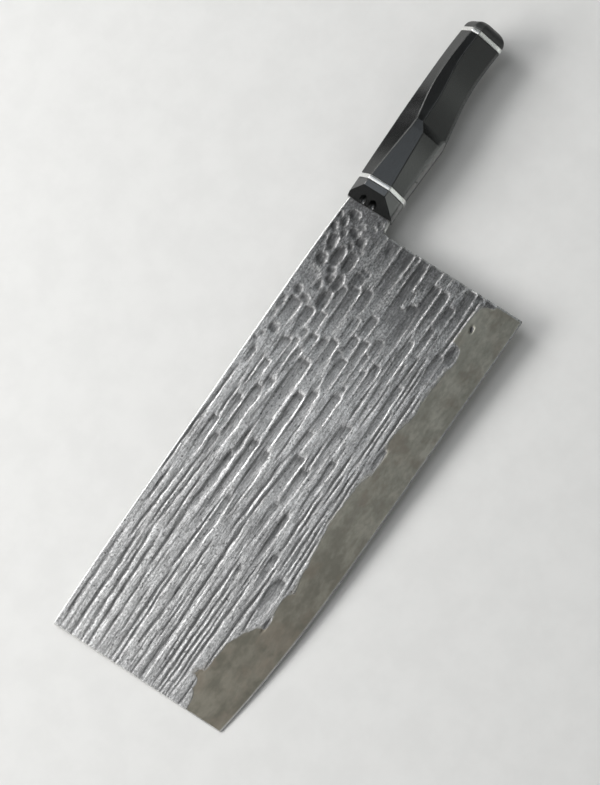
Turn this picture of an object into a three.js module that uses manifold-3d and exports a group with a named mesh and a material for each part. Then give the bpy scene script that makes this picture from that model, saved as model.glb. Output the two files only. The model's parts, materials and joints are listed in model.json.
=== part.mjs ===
import * as THREE from "three";
import { mergeVertices } from "three/addons/utils/BufferGeometryUtils.js";
import Module from "manifold-3d";

const wasm = await Module();
wasm.setup();

// Sizes in millimetres. The knife is built along its own axes and laid down at the end.
// x runs from the front of the bolster to the tip, y from the spine to the cutting edge,
// z from the lower face to the upper one, with z = 0 in the middle of the blade.

// Blade outline
const tipReach = 228;
const heelReach = 6.2;
const heelLean = 0.5;
const heelHeight = 95.6;
const edgeFall = 3.6;
const edgeSweep = 5.8;
const edgeSweepStart = 120;
const edgeSweepPower = 2.6;
const spineDropNeck = 1.1;
const spineDropTip = 0.7;
const spineBendNeck = 46;
const spineBendTip = 52;
const tipCornerSpine = 0.8;
const tipCornerEdge = 0.8;
const heelCorner = 0.6;

// Blade thickness
const spineThickness = 3.7;
const tipThickness = 2.5;
const lossPerHeight = 0.0185;
const bevelWidth = 17;
const edgeLand = 0.3;
const spineChamfer = 0.45;

// Neck and hidden tang
const neckHeight = 22.4;
const neckFlare = 0.7;
const neckFillet = 2.2;
const neckChamfer = 0.7;
const tangLength = 66;
const tangSpineY = 6.8;
const tangWidth = 10;
const tangEndWidth = 6;
const tangThickness = 3.2;
const tangEndThickness = 2.4;

// Handle, from the bolster to the pommel
const bolsterLength = 9.3;
const spacerThickness = 2.1;
const gripLength = 80.4;
const pommelLength = 6;
const pommelDome = 0.56;
const snoutHalfHeight = 2.5;
const snoutSlope = 1.18;
const snoutHoleRadius = 1.8;
const snoutHolePitch = 4.8;
const snoutHoleY = 10;
const snoutHoleWall = 0.1;
const snoutHoleDepth = 5.6;
const spacerProud = 0.15;

// Fits between the pieces
const glueLine = 0.15;
const tangFit = 0.3;
const beddingThickness = 1.2;
const dowelRadius = 1.25;
const dowelFit = 0.15;
const dowelWall = 0.7;
const dowelInCap = 3.6;
const dowelInGrip = 8;
const rearDowelSpineY = 5.2;
const rearDowelPitch = 7.6;
const roundSides = 20;

// Corners of the handle's eight-sided section. The spine side and the belly side are the two
// upright faces, belt is half the height of such a face, and ridge is an edge of the top facet.
const frontSection = {
  spineSide: 0.3, spineBelt: 4.7, ridgeSpine: 5.1, ridgeSpineZ: 9.8,
  ridgeBelly: 15.9, ridgeBellyZ: 9.8, bellySide: 23.3, bellyBelt: 2.8,
};

// The grip changes along its length: wide flat facets at the front up to a crease, then a waist.
// Each list runs from the front of the grip to its rear at the shares of the length in gripShares.
const gripShares = [0, 0.18, 0.355, 0.41, 0.525, 0.63, 0.745, 0.85, 1];
const gripFacets = {
  spineSide: [0, -0.3, -0.5, -0.6, -0.7, -0.7, -0.6, -0.6, 0],
  spineBelt: [4.6, 4.4, 4.1, 4, 3.6, 3.3, 3, 2.5, 1.9],
  ridgeSpine: [5.1, 6.2, 7.5, 7.5, 5.7, 4.1, 4, 4, 5.2],
  ridgeSpineZ: [9.7, 9.6, 9.45, 9.3, 8.7, 8.2, 8, 8, 8.1],
  ridgeBelly: [15.85, 14.8, 13.65, 10.9, 10.8, 10.4, 8.4, 8, 8.9],
  ridgeBellyZ: [9.7, 9.65, 9.5, 9.4, 9.1, 8.9, 8.6, 8.5, 8.3],
  bellySide: [22.9, 23.3, 23.8, 23.4, 21.5, 20, 18.9, 19.1, 19.9],
  bellyBelt: [2.8, 2.7, 2.5, 2.4, 2.1, 1.8, 1.6, 1.4, 1.3],
};
const facetChamfer = 0.35;
const bellyChamfer = 1.1;

const steel = new THREE.MeshStandardMaterial({ color: 0x9c9c96, roughness: 0.42, metalness: 1 });
const silver = new THREE.MeshStandardMaterial({ color: 0xc9c9c6, roughness: 0.25, metalness: 1 });
const black = new THREE.MeshStandardMaterial({ color: 0x1b1b1d, roughness: 0.35, metalness: 0 });
const resin = new THREE.MeshStandardMaterial({ color: 0x6a5a3a, roughness: 0.6, metalness: 0 });
const pinSteel = new THREE.MeshStandardMaterial({ color: 0x8d9094, roughness: 0.35, metalness: 1 });

// Closed solid through a row of rings that all have the same number of corners. The quads of the
// first half of the corners are split the other way, so that both sides of the knife mirror.
function loft(rings) {
  const count = rings[0].length;
  const points = rings.flat();
  const position = new Float32Array(points.flatMap((p) => [p.x, p.y, p.z]));
  const index = [];
  for (let r = 0; r + 1 < rings.length; r += 1) {
    for (let i = 0; i < count; i += 1) {
      const j = (i + 1) % count;
      const a = r * count + i;
      const b = r * count + j;
      const c = (r + 1) * count + j;
      const d = (r + 1) * count + i;
      if (i < count / 2) {
        index.push(a, b, d, b, c, d);
      } else {
        index.push(a, b, c, a, c, d);
      }
    }
  }
  const last = (rings.length - 1) * count;
  for (let i = 1; i + 1 < count; i += 1) {
    index.push(0, i + 1, i);
    index.push(last, last + i, last + i + 1);
  }
  const geometry = new THREE.BufferGeometry();
  geometry.setAttribute("position", new THREE.BufferAttribute(position, 3));
  geometry.setIndex(index);
  return toSolid(geometry);
}

function signedVolume(position, index) {
  const a = new THREE.Vector3();
  const b = new THREE.Vector3();
  const c = new THREE.Vector3();
  let sum = 0;
  for (let i = 0; i < index.length; i += 3) {
    a.fromBufferAttribute(position, index[i]);
    b.fromBufferAttribute(position, index[i + 1]);
    c.fromBufferAttribute(position, index[i + 2]);
    sum += a.dot(b.clone().cross(c)) / 6;
  }
  return sum;
}

// Solid for cutting and joining, with its faces turned outward
function toSolid(source) {
  const bare = source.clone();
  bare.deleteAttribute("normal");
  bare.deleteAttribute("uv");
  const geometry = mergeVertices(bare, 1e-5);
  const position = geometry.getAttribute("position");
  const index = Array.from(geometry.getIndex().array);
  if (signedVolume(position, index) < 0) {
    for (let i = 0; i < index.length; i += 3) {
      const swap = index[i + 1];
      index[i + 1] = index[i + 2];
      index[i + 2] = swap;
    }
  }
  const triVerts = new Uint32Array(index);
  const vertProperties = new Float32Array(position.array);
  return new wasm.Manifold(new wasm.Mesh({ numProp: 3, vertProperties, triVerts }));
}

// Round rod along x
function rod(radius, fromX, toX, y, z) {
  const length = Math.abs(toX - fromX);
  const geometry = new THREE.CylinderGeometry(radius, radius, length, roundSides);
  geometry.rotateZ(Math.PI / 2);
  geometry.translate((fromX + toX) / 2, y, z);
  return toSolid(geometry);
}

function piece(name, solid, material) {
  const result = solid.getMesh();
  const geometry = new THREE.BufferGeometry();
  const position = new Float32Array(result.vertProperties);
  geometry.setAttribute("position", new THREE.BufferAttribute(position, 3));
  geometry.setIndex(new THREE.BufferAttribute(new Uint32Array(result.triVerts), 1));
  const flat = geometry.toNonIndexed();
  flat.computeVertexNormals();
  const mesh = new THREE.Mesh(flat, material);
  mesh.name = name;
  return mesh;
}

const at = (x, y, z) => new THREE.Vector3(x, y, z);

// Half the blade's thickness: one plane per side, thinner towards the tip and the edge
function halfThickness(x, y) {
  const share = (x - heelReach) / (tipReach - heelReach);
  const alongSpine = spineThickness + (tipThickness - spineThickness) * share;
  return (alongSpine - lossPerHeight * y) / 2;
}

function spineY(x) {
  if (x < spineBendNeck) {
    return spineDropNeck * ((spineBendNeck - x) / spineBendNeck) ** 2;
  }
  const fromTip = x - (tipReach - spineBendTip);
  return fromTip > 0 ? spineDropTip * (fromTip / spineBendTip) ** 2 : 0;
}

function edgeY(x) {
  const share = (x - heelReach) / (tipReach - heelReach);
  const sweep = Math.max(0, x - edgeSweepStart) / (tipReach - edgeSweepStart);
  return heelHeight - edgeFall * share - edgeSweep * sweep ** edgeSweepPower;
}

// Rounding of a corner of radius r at distance d from the end of the blade
function cornerCut(r, d) {
  return d < r ? r - Math.sqrt(r * r - (r - d) ** 2) : 0;
}

// One blade section: spine flat, spine chamfers, faces down to the bevel, cutting edge.
// The heel section leans, so its spine corners stand further out than its edge corners.
function bladeRing(spineX, edgeX) {
  const fromHeel = edgeX - (heelReach + heelLean);
  const top = spineY(spineX) + cornerCut(tipCornerSpine, tipReach - spineX);
  const roundedTip = cornerCut(tipCornerEdge, tipReach - edgeX);
  const bottom = edgeY(edgeX) - roundedTip - cornerCut(heelCorner, fromHeel);
  const bevelY = edgeY(edgeX) - bevelWidth;
  const bevelX = edgeX - (edgeX === spineX ? 0 : (heelLean * bevelWidth) / heelHeight);
  const half = (x, y) => halfThickness(x, y);
  const spineZ = half(spineX, top) - spineChamfer;
  const faceZ = half(spineX, top + spineChamfer);
  const bevelZ = half(bevelX, bevelY);
  return [
    at(spineX, top, spineZ),
    at(spineX, top + spineChamfer, faceZ),
    at(bevelX, bevelY, bevelZ),
    at(edgeX, bottom, edgeLand / 2),
    at(edgeX, bottom, -edgeLand / 2),
    at(bevelX, bevelY, -bevelZ),
    at(spineX, top + spineChamfer, -faceZ),
    at(spineX, top, -spineZ),
  ];
}

// One neck section, with the same corners as a blade section
function neckRing(x, low) {
  const top = spineY(x);
  const faceZ = halfThickness(x, top + spineChamfer);
  const lowZ = halfThickness(x, low - neckChamfer);
  const lowFlatZ = lowZ - neckChamfer;
  return [
    at(x, top, halfThickness(x, top) - spineChamfer),
    at(x, top + spineChamfer, faceZ),
    at(x, low - neckChamfer, lowZ),
    at(x, low, lowFlatZ),
    at(x, low, -lowFlatZ),
    at(x, low - neckChamfer, -lowZ),
    at(x, top + spineChamfer, -faceZ),
    at(x, top, -(halfThickness(x, top) - spineChamfer)),
  ];
}

function bladeSolid() {
  const rings = [];
  const neckLow = spineDropNeck + neckHeight - 1;
  const flareEnd = heelReach - neckFillet;
  rings.push(neckRing(glueLine, neckLow));
  rings.push(neckRing(flareEnd, neckLow + neckFlare));
  for (const turn of [0.35, 0.6, 0.8, 0.93]) {
    const x = flareEnd + neckFillet * turn;
    rings.push(neckRing(x, neckLow + neckFlare + cornerRise(turn)));
  }
  const heelEdge = heelReach + heelLean;
  rings.push(bladeRing(heelEdge + 8, heelEdge));
  rings.push(bladeRing(heelEdge + 8.5, heelEdge + heelCorner * 0.3));
  rings.push(bladeRing(heelEdge + 9, heelEdge + heelCorner));
  const straightFrom = heelEdge + 14;
  const straightTo = tipReach - 8;
  const steps = 26;
  for (let i = 0; i <= steps; i += 1) {
    const x = straightFrom + ((straightTo - straightFrom) * i) / steps;
    rings.push(bladeRing(x, x));
  }
  rings.push(bladeRing(tipReach - 4, tipReach - 4));
  for (const share of [1, 0.6, 0.3, 0.08, 0]) {
    const x = tipReach - share * Math.max(tipCornerSpine, tipCornerEdge);
    rings.push(bladeRing(x, x));
  }
  return loft(rings);
}

// Rise of the small fillet between the neck and the heel, as a share of its run
function cornerRise(turn) {
  return neckFillet * (1 - Math.sqrt(1 - turn * turn));
}

// Flat bar with the tang's taper, grown on every side by the same amount
function tangBar(fromX, grow) {
  const shares = [fromX, -tangLength - grow];
  const rings = shares.map((x) => {
    const share = Math.min(1, Math.max(0, -x / tangLength));
    const width = tangWidth + (tangEndWidth - tangWidth) * share;
    const half = (tangThickness + (tangEndThickness - tangThickness) * share) / 2 + grow;
    const low = tangSpineY - grow;
    const high = tangSpineY + width + grow;
    return [at(x, low, -half), at(x, high, -half), at(x, high, half), at(x, low, half)];
  });
  return loft(rings);
}

// Ring of sixteen corners: the eight-sided section with its corners broken
function sectionRing(x, s, grow = 0) {
  const upper = [
    [s.spineSide - grow, s.spineBelt, facetChamfer],
    [s.ridgeSpine, s.ridgeSpineZ + grow, facetChamfer],
    [s.ridgeBelly, s.ridgeBellyZ + grow, facetChamfer],
    [s.bellySide + grow, s.bellyBelt, bellyChamfer],
  ];
  const lower = upper.map(([y, z, c]) => [y, -z, c]).reverse();
  const corners = [...upper, ...lower];
  const ring = [];
  corners.forEach(([y, z, c], i) => {
    const [beforeY, beforeZ] = corners[(i + corners.length - 1) % corners.length];
    const [afterY, afterZ] = corners[(i + 1) % corners.length];
    for (const [toY, toZ] of [[beforeY, beforeZ], [afterY, afterZ]]) {
      const span = Math.hypot(toY - y, toZ - z);
      const share = Math.min(c, span * 0.3) / span;
      ring.push(at(x, y + (toY - y) * share, z + (toZ - z) * share));
    }
  });
  return ring;
}

// Section of the grip at a share of its length
function gripSection(share) {
  let k = 0;
  while (k + 2 < gripShares.length && share > gripShares[k + 1]) {
    k += 1;
  }
  const t = (share - gripShares[k]) / (gripShares[k + 1] - gripShares[k]);
  const section = {};
  for (const [name, values] of Object.entries(gripFacets)) {
    section[name] = values[k] + (values[k + 1] - values[k]) * t;
  }
  return section;
}

// Where each piece of the handle starts and ends, going back from the bolster's front
const bolsterEnd = -bolsterLength;
const frontSpacerStart = bolsterEnd - glueLine;
const frontSpacerEnd = frontSpacerStart - spacerThickness;
const gripStart = frontSpacerEnd - glueLine;
const gripEnd = gripStart - gripLength;
const rearSpacerStart = gripEnd - glueLine;
const rearSpacerEnd = rearSpacerStart - spacerThickness;
const pommelStart = rearSpacerEnd - glueLine;
const pommelEnd = pommelStart - pommelLength;

// Dowel places, beside the tang's bore at the front and on the section's middle at the rear
const boreGrow = tangFit * 2 + beddingThickness;
const frontDowelYs = {
  spine: tangSpineY - boreGrow - dowelWall - dowelRadius,
  belly: tangSpineY + tangWidth + boreGrow + dowelWall + dowelRadius,
};
const rearDowelYs = { spine: rearDowelSpineY, belly: rearDowelSpineY + rearDowelPitch };
const frontDowelFrom = bolsterEnd + dowelInCap;
const frontDowelTo = gripStart - dowelInGrip;
const rearDowelFrom = gripEnd + dowelInGrip;
const rearDowelTo = pommelStart - dowelInCap;

function dowelHoles(ys, fromX, toX) {
  const radius = dowelRadius + dowelFit;
  const spine = rod(radius, fromX + dowelFit, toX - dowelFit, ys.spine, 0);
  const belly = rod(radius, fromX + dowelFit, toX - dowelFit, ys.belly, 0);
  return spine.add(belly);
}

const frontHoles = dowelHoles(frontDowelYs, frontDowelFrom, frontDowelTo);
const rearHoles = dowelHoles(rearDowelYs, rearDowelFrom, rearDowelTo);
const tangSlot = tangBar(heelReach, tangFit);

// Wedge of waste in front of one sloped shoulder of the bolster
function snoutWaste(side) {
  const rearX = bolsterEnd - 5;
  const line = (x) => side * (snoutHalfHeight - snoutSlope * x);
  const far = side * 40;
  const rings = [-20, 60].map((y) => [
    at(2, y, line(2)), at(2, y, far), at(rearX, y, far), at(rearX, y, line(rearX)),
  ]);
  return loft(rings);
}

function bolsterSolid() {
  const rings = [sectionRing(0, frontSection), sectionRing(bolsterEnd, frontSection)];
  let body = loft(rings);
  const holeZ = snoutHalfHeight + snoutHoleWall + snoutHoleRadius;
  for (const side of [1, -1]) {
    body = body.subtract(snoutWaste(side));
    for (const step of [-0.5, 0.5]) {
      const y = snoutHoleY + step * snoutHolePitch;
      body = body.subtract(rod(snoutHoleRadius, 2, -snoutHoleDepth, y, side * holeZ));
    }
  }
  return body.subtract(tangSlot).subtract(frontHoles);
}

function spacerSolid(start, end, section) {
  return loft([sectionRing(start, section, spacerProud), sectionRing(end, section, spacerProud)]);
}

function gripSolid() {
  const shares = [];
  for (let k = 0; k + 1 < gripShares.length; k += 1) {
    shares.push(gripShares[k]);
    if (gripShares[k] > 0.4) {
      shares.push((gripShares[k] + gripShares[k + 1]) / 2);
    }
  }
  shares.push(1);
  const rings = shares.map((share) => sectionRing(gripStart - gripLength * share, gripSection(share)));
  return loft(rings).subtract(tangBar(heelReach, boreGrow)).subtract(frontHoles).subtract(rearHoles);
}

// Cured resin that holds the tang in the grip's bore
function beddingSolid() {
  const sleeve = tangBar(gripStart, tangFit + beddingThickness);
  return sleeve.subtract(tangSlot);
}

function pommelSolid() {
  const section = gripSection(1);
  const middleY = (section.spineSide + section.bellySide) / 2;
  const turns = [0, 0.4, 0.7, 0.88, 1];
  const rings = turns.map((turn) => {
    const shrink = 1 - (1 - pommelDome) * (1 - Math.sqrt(1 - turn ** 3 * 0.93));
    const x = pommelStart + (pommelEnd - pommelStart) * turn;
    return sectionRing(x, section).map((p) => at(x, middleY + (p.y - middleY) * shrink, p.z * shrink));
  });
  return loft(rings).subtract(rearHoles);
}

function dowel(ys, key, fromX, toX) {
  return rod(dowelRadius, fromX, toX, ys[key], 0);
}

const blade = bladeSolid().add(tangBar(heelReach / 2, 0));
const rearSection = gripSection(1);
const pieces = [
  piece("blade", blade, steel),
  piece("bolster", bolsterSolid(), black),
  piece("front_spacer", spacerSolid(frontSpacerStart, frontSpacerEnd, frontSection)
    .subtract(tangSlot).subtract(frontHoles), silver),
  piece("grip", gripSolid(), black),
  piece("tang_bedding", beddingSolid(), resin),
  piece("rear_spacer", spacerSolid(rearSpacerStart, rearSpacerEnd, rearSection)
    .subtract(rearHoles), silver),
  piece("pommel", pommelSolid(), black),
  piece("front_dowel_spine", dowel(frontDowelYs, "spine", frontDowelFrom, frontDowelTo), pinSteel),
  piece("front_dowel_belly", dowel(frontDowelYs, "belly", frontDowelFrom, frontDowelTo), pinSteel),
  piece("rear_dowel_spine", dowel(rearDowelYs, "spine", rearDowelFrom, rearDowelTo), pinSteel),
  piece("rear_dowel_belly", dowel(rearDowelYs, "belly", rearDowelFrom, rearDowelTo), pinSteel),
];

// Lay the knife on the table: the lower edge of its tip end and the underside of its handle
// touch. Of all corners of the handle, the one that gives the steepest tilt touches first.
function restTurn() {
  const bevelY = edgeY(tipReach) - bevelWidth;
  const spineEnd = spineY(tipReach) + tipCornerSpine + spineChamfer;
  const first = at(tipReach, spineEnd, -halfThickness(tipReach, spineEnd));
  const second = at(tipReach, bevelY, -halfThickness(tipReach, bevelY));
  const along = second.clone().sub(first);
  let up = null;
  for (const mesh of pieces.slice(1)) {
    const position = mesh.geometry.getAttribute("position");
    for (let i = 0; i < position.count; i += 1) {
      const corner = new THREE.Vector3().fromBufferAttribute(position, i);
      const normal = along.clone().cross(corner.sub(first)).normalize();
      normal.multiplyScalar(Math.sign(normal.z));
      if (corner.z < 0 && (up === null || normal.x < up.x)) {
        up = normal;
      }
    }
  }
  const forward = at(1, 0, 0).addScaledVector(up, -up.x).normalize();
  const across = up.clone().cross(forward);
  const turn = new THREE.Matrix4().makeBasis(forward, across, up).transpose();
  return new THREE.Quaternion().setFromRotationMatrix(turn);
}

const knife = new THREE.Group();
knife.name = "knife";
knife.add(...pieces);
knife.quaternion.copy(restTurn());
knife.updateMatrixWorld(true);
const reach = new THREE.Box3().setFromObject(knife, true);
knife.position.set(-(reach.min.x + reach.max.x) / 2, -(reach.min.y + reach.max.y) / 2, -reach.min.z);

const cleaver = new THREE.Group();
cleaver.name = "cleaver";
cleaver.add(knife);
cleaver.updateMatrixWorld(true);

export default cleaver;
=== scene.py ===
import json
import math
import random
import bmesh
import bpy
import numpy as np
from mathutils import Matrix, Quaternion, Vector

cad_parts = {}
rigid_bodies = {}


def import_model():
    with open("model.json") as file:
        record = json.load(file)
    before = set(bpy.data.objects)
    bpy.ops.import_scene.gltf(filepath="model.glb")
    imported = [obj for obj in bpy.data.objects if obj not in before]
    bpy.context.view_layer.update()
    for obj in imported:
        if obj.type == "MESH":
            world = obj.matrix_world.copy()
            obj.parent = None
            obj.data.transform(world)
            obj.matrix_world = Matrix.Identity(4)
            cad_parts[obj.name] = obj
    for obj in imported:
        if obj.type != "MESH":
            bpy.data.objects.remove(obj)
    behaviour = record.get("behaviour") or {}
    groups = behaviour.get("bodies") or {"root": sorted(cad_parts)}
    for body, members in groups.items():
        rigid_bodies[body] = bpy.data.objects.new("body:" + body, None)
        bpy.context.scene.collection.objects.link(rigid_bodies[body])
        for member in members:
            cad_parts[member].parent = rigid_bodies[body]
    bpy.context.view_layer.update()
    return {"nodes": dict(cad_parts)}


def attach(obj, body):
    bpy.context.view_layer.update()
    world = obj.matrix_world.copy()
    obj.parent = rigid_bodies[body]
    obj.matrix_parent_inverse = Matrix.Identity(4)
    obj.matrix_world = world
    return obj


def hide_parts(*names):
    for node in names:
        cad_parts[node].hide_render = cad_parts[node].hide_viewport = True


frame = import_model()
scene = bpy.context.scene

# Knife axes, in mm: x from the bolster's front to the tip, y from spine to edge, z out of the left face
knife = {
    "turn": (0.999816088, -0.004624050, 0.018611852, 0.000086078),  # how it lies on the table: w, x, y, z
    "place": (-63.622640, -47.424707, 9.734706),
}
layDown = (Matrix.Translation(Vector(knife["place"]) / 1000)
           @ Quaternion(knife["turn"]).to_matrix().to_4x4())
toFrame = layDown @ Matrix.Scale(0.001, 4)


# node helpers

def setSocket(tree, socket, value):
    if isinstance(value, bpy.types.NodeSocket):
        tree.links.new(value, socket)
    else:
        socket.default_value = value


def addNode(tree, kind, inputs=None, **settings):
    node = tree.nodes.new(kind)
    for key, value in settings.items():
        setattr(node, key, value)
    for key, value in (inputs or {}).items():
        setSocket(tree, node.inputs[key], value)
    return node


def calc(tree, operation, *values):
    return addNode(tree, "ShaderNodeMath", dict(enumerate(values)), operation=operation).outputs[0]


def times(tree, value, *factors):
    for factor in factors:
        value = calc(tree, "MULTIPLY", value, factor)
    return value


def timesPlus(tree, value, factor, more):
    return calc(tree, "MULTIPLY_ADD", value, factor, more)


def plus(tree, a, b):
    return calc(tree, "ADD", a, b)


def minus(tree, a, b):
    return calc(tree, "SUBTRACT", a, b)


def remap(tree, value, low, high, toLow=0.0, toHigh=1.0):
    node = addNode(tree, "ShaderNodeMapRange",
                   {"Value": value, "From Min": low, "From Max": high, "To Min": toLow, "To Max": toHigh})
    node.interpolation_type = "SMOOTHSTEP"
    return node.outputs[0]


def joinXyz(tree, x=0.0, y=0.0, z=0.0):
    return addNode(tree, "ShaderNodeCombineXYZ", {0: x, 1: y, 2: z}).outputs[0]


def splitXyz(tree, vector):
    return addNode(tree, "ShaderNodeSeparateXYZ", {0: vector}).outputs


def blendColor(tree, factor, a, b):
    node = addNode(tree, "ShaderNodeMix", data_type="RGBA")
    for key, value in (("Factor", factor), ("A", a), ("B", b)):
        setSocket(tree, [s for s in node.inputs if s.name == key and s.enabled][0], value)
    return [s for s in node.outputs if s.enabled][0]


# lays one colour of the look after another over the first, each by its own share
def paint(tree, look, color, layers):
    for share, name in layers:
        color = blendColor(tree, share, color, look[name])
    return color


def readAttribute(tree, name):
    return addNode(tree, "ShaderNodeAttribute", attribute_name=name).outputs["Fac"]


def newGroup(name, kind, inputs, outputs):
    tree = bpy.data.node_groups.new(name, kind)
    for label, socketKind, value in inputs:
        socket = tree.interface.new_socket(label, in_out="INPUT", socket_type=socketKind)
        if value is not None:
            socket.default_value = value
    for label, socketKind in outputs:
        tree.interface.new_socket(label, in_out="OUTPUT", socket_type=socketKind)
    return tree, tree.nodes.new("NodeGroupInput").outputs, tree.nodes.new("NodeGroupOutput").inputs


number = "NodeSocketFloat"


# fine grain of forged, brushed or sawn stuff: longer along the knife than across it
def makeGrainGroup():
    tree, take, give = newGroup(
        "fineGrain", "ShaderNodeTree",
        [("Vector", "NodeSocketVector", None), ("Across", number, 2000.0), ("Stretch", number, 1.0),
         ("Low", number, 0.35), ("High", number, 0.65)],
        [("Mask", number), ("Raw", number)])
    along = calc(tree, "DIVIDE", take["Across"], take["Stretch"])
    size = joinXyz(tree, along, take["Across"], take["Across"])
    place = addNode(tree, "ShaderNodeVectorMath", {0: take["Vector"], 1: size}, operation="MULTIPLY")
    noise = addNode(tree, "ShaderNodeTexNoise",
                    {"Vector": place.outputs[0], "Scale": 1.0, "Detail": 3.0, "Roughness": 0.6}).outputs[0]
    tree.links.new(remap(tree, noise, take["Low"], take["High"]), give["Mask"])
    tree.links.new(noise, give["Raw"])
    return tree


patches = {"start": 0.65, "coverLess": -0.5, "soft": 0.25}  # start: level of the noise; cover lowers it


# rubbed corners with a painted highlight: the piece's edge attribute, broken up by noise; Cover is the share
# that stays rubbed and highlighted
def makeWearAndHighlightGroup():
    tree, take, give = newGroup(
        "edgeWear", "ShaderNodeTree",
        [("Vector", "NodeSocketVector", None), ("Size", number, 300.0), ("Cover", number, 0.5)],
        [("Mask", number)])
    noise = addNode(tree, "ShaderNodeTexNoise",
                    {"Vector": take["Vector"], "Scale": take["Size"], "Detail": 4.0}).outputs[0]
    low = timesPlus(tree, take["Cover"], patches["coverLess"], patches["start"])
    patch = remap(tree, noise, low, plus(tree, low, patches["soft"]))
    tree.links.new(times(tree, readAttribute(tree, "edge"), patch), give["Mask"])
    return tree


fineGrain = makeGrainGroup()
edgeWear = makeWearAndHighlightGroup()


# size: how fine across the knife, how much longer along it, where the mask starts and where it is full
def addGrain(tree, spot, size):
    across, stretch, low, high = size
    inputs = {"Vector": spot, "Across": across, "Stretch": stretch, "Low": low, "High": high}
    return addNode(tree, "ShaderNodeGroup", inputs, node_tree=fineGrain).outputs


def addWearAndHighlight(tree, spot, size, cover):
    inputs = {"Vector": spot, "Size": size, "Cover": cover}
    return addNode(tree, "ShaderNodeGroup", inputs, node_tree=edgeWear).outputs["Mask"]


def newMaterial(name):
    material = bpy.data.materials.new(name)
    material.use_nodes = True
    tree = material.node_tree
    shader = [n for n in tree.nodes if n.type == "BSDF_PRINCIPLED"][0]
    spot = addNode(tree, "ShaderNodeTexCoord").outputs["Object"]
    return material, tree, shader.inputs, spot


# what changes over the surface; bump is its strength and its depth in metres
def setLook(tree, surface, color, rough, height, bump):
    bumpNode = addNode(tree, "ShaderNodeBump", {"Height": height, "Strength": bump[0], "Distance": bump[1]})
    for name, value in (("Base Color", color), ("Roughness", rough), ("Normal", bumpNode.outputs[0])):
        tree.links.new(value, surface[name])


# the dark floor colour is grain and also painted shade in the hollows and creases; the bright colour is a
# painted highlight; the bevel's tip colours are painted shade
steelLook = {
    "land": (0.95, 0.95, 0.945, 1), "floor": (0.13, 0.13, 0.13, 1), "band": (0.62, 0.62, 0.61, 1),
    "speck": (0.11, 0.11, 0.11, 1), "scaleAndShade": (0.115, 0.115, 0.115, 1), "paintedHighlight": (0.80, 0.80, 0.78, 1),
    "ground": (0.42, 0.408, 0.345, 1), "groundPale": (0.57, 0.555, 0.475, 1),
    "shadedTipGround": (0.212, 0.202, 0.164, 1), "shadedTipPale": (0.33, 0.31, 0.255, 1),
    "tan": (0.36, 0.31, 0.25, 1), "stain": (0.25, 0.24, 0.20, 1),
    "fleckScale": 430.0, "fleckSize": (0.26, 0.11), "pinholesAbove": 0.5, "paintedGlintsBelow": 0.3,
    "cloudReach": 0.05, "streakDeep": 0.7, "pitDeep": -0.25, "scratchDeep": 0.05, "wornRough": -0.08,
    "wearAndHighlight": (180.0, 1.0), "bump": (0.20, 0.0004),
}
steelGrain = {  # as addGrain takes them
    "speck": (1700, 1.8, 0.40, 0.60), "pit": (1100, 1.4, 0.59, 0.65), "cloud": (190, 2.5, 0.3, 0.7),
    "streak": (1300, 9, 0.38, 0.62), "crack": (640, 15, 0.57, 0.64), "band": (520, 5, 0.42, 0.60),
    "haze": (160, 1.6, 0.35, 0.66), "stain": (620, 2.2, 0.40, 0.62), "tan": (95, 1.3, 0.46, 0.66),
    "scratch": (2600, 14, 0.3, 0.7),
}
steelShare = {  # how strongly each shows
    "cloud": 0.28, "streak": 0.36, "crack": 0.5, "band": 0.24, "pit": 0.6, "pinhole": 0.75, "paintedGlint": 0.22,
    "tan": 0.55, "stain": 0.30, "paintedHighlight": 0.25,
}
# where each zone starts and where it is full, and for some its first and its full share; depths and distances
# from the bevel's start are in mm, places along and across the knife in m
steelZone = {
    "hollow": (0.08, 0.42), "crease": (0.006, 0.08, 0.0, 0.70),
    "scaleAndShadeAlong": (0.055, -0.05), "scaleAndShadeAcross": (-0.02, 0.015, 0.96, 0.60),
    "bandDepth": (0.03, 0.15), "bandAlong": (0.06, -0.02), "tip": (0.0, 0.14), "bevel": (-0.25, 0.25),
    "touched": (-2.6, -0.2, 0.0, 0.6), "seamHighlightOuter": (-0.55, -0.05), "seamHighlightInner": (0.5, 0.1),
}
steelMix = {  # what a full mask adds, and what is there without it
    "rubbed": (0.26, 0.74), "paintedHollowShade": (0.74, 0.25), "rimHighlight": (0.32, 0.1), "gritty": (0.36, 0.44),
    "grittyHollow": (-0.3, 1.0), "coarse": (0.8, 0.8),
    "roughForged": (0.10, 0.33), "roughGround": (0.06, 0.30),
}


# masks of every grain, of single pinholes and of painted glints (bright flecks); raw is the grain's noise as
# it is
def steelMasks(tree, spot):
    mask, raw = {}, {}
    for name, size in steelGrain.items():
        grain = addGrain(tree, spot, size)
        mask[name], raw[name] = grain["Mask"], grain["Raw"]
    fleck = addNode(tree, "ShaderNodeTexVoronoi", {"Vector": spot, "Scale": steelLook["fleckScale"]}).outputs
    near = remap(tree, fleck["Distance"], *steelLook["fleckSize"])
    pick = splitXyz(tree, fleck["Color"])[0]
    mask["pinhole"] = times(tree, near, calc(tree, "GREATER_THAN", pick, steelLook["pinholesAbove"]))
    # painted glints: bright flecks in the highlight colour
    mask["paintedGlint"] = times(tree, near, calc(tree, "LESS_THAN", pick, steelLook["paintedGlintsBelow"]))
    return mask, raw
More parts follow.
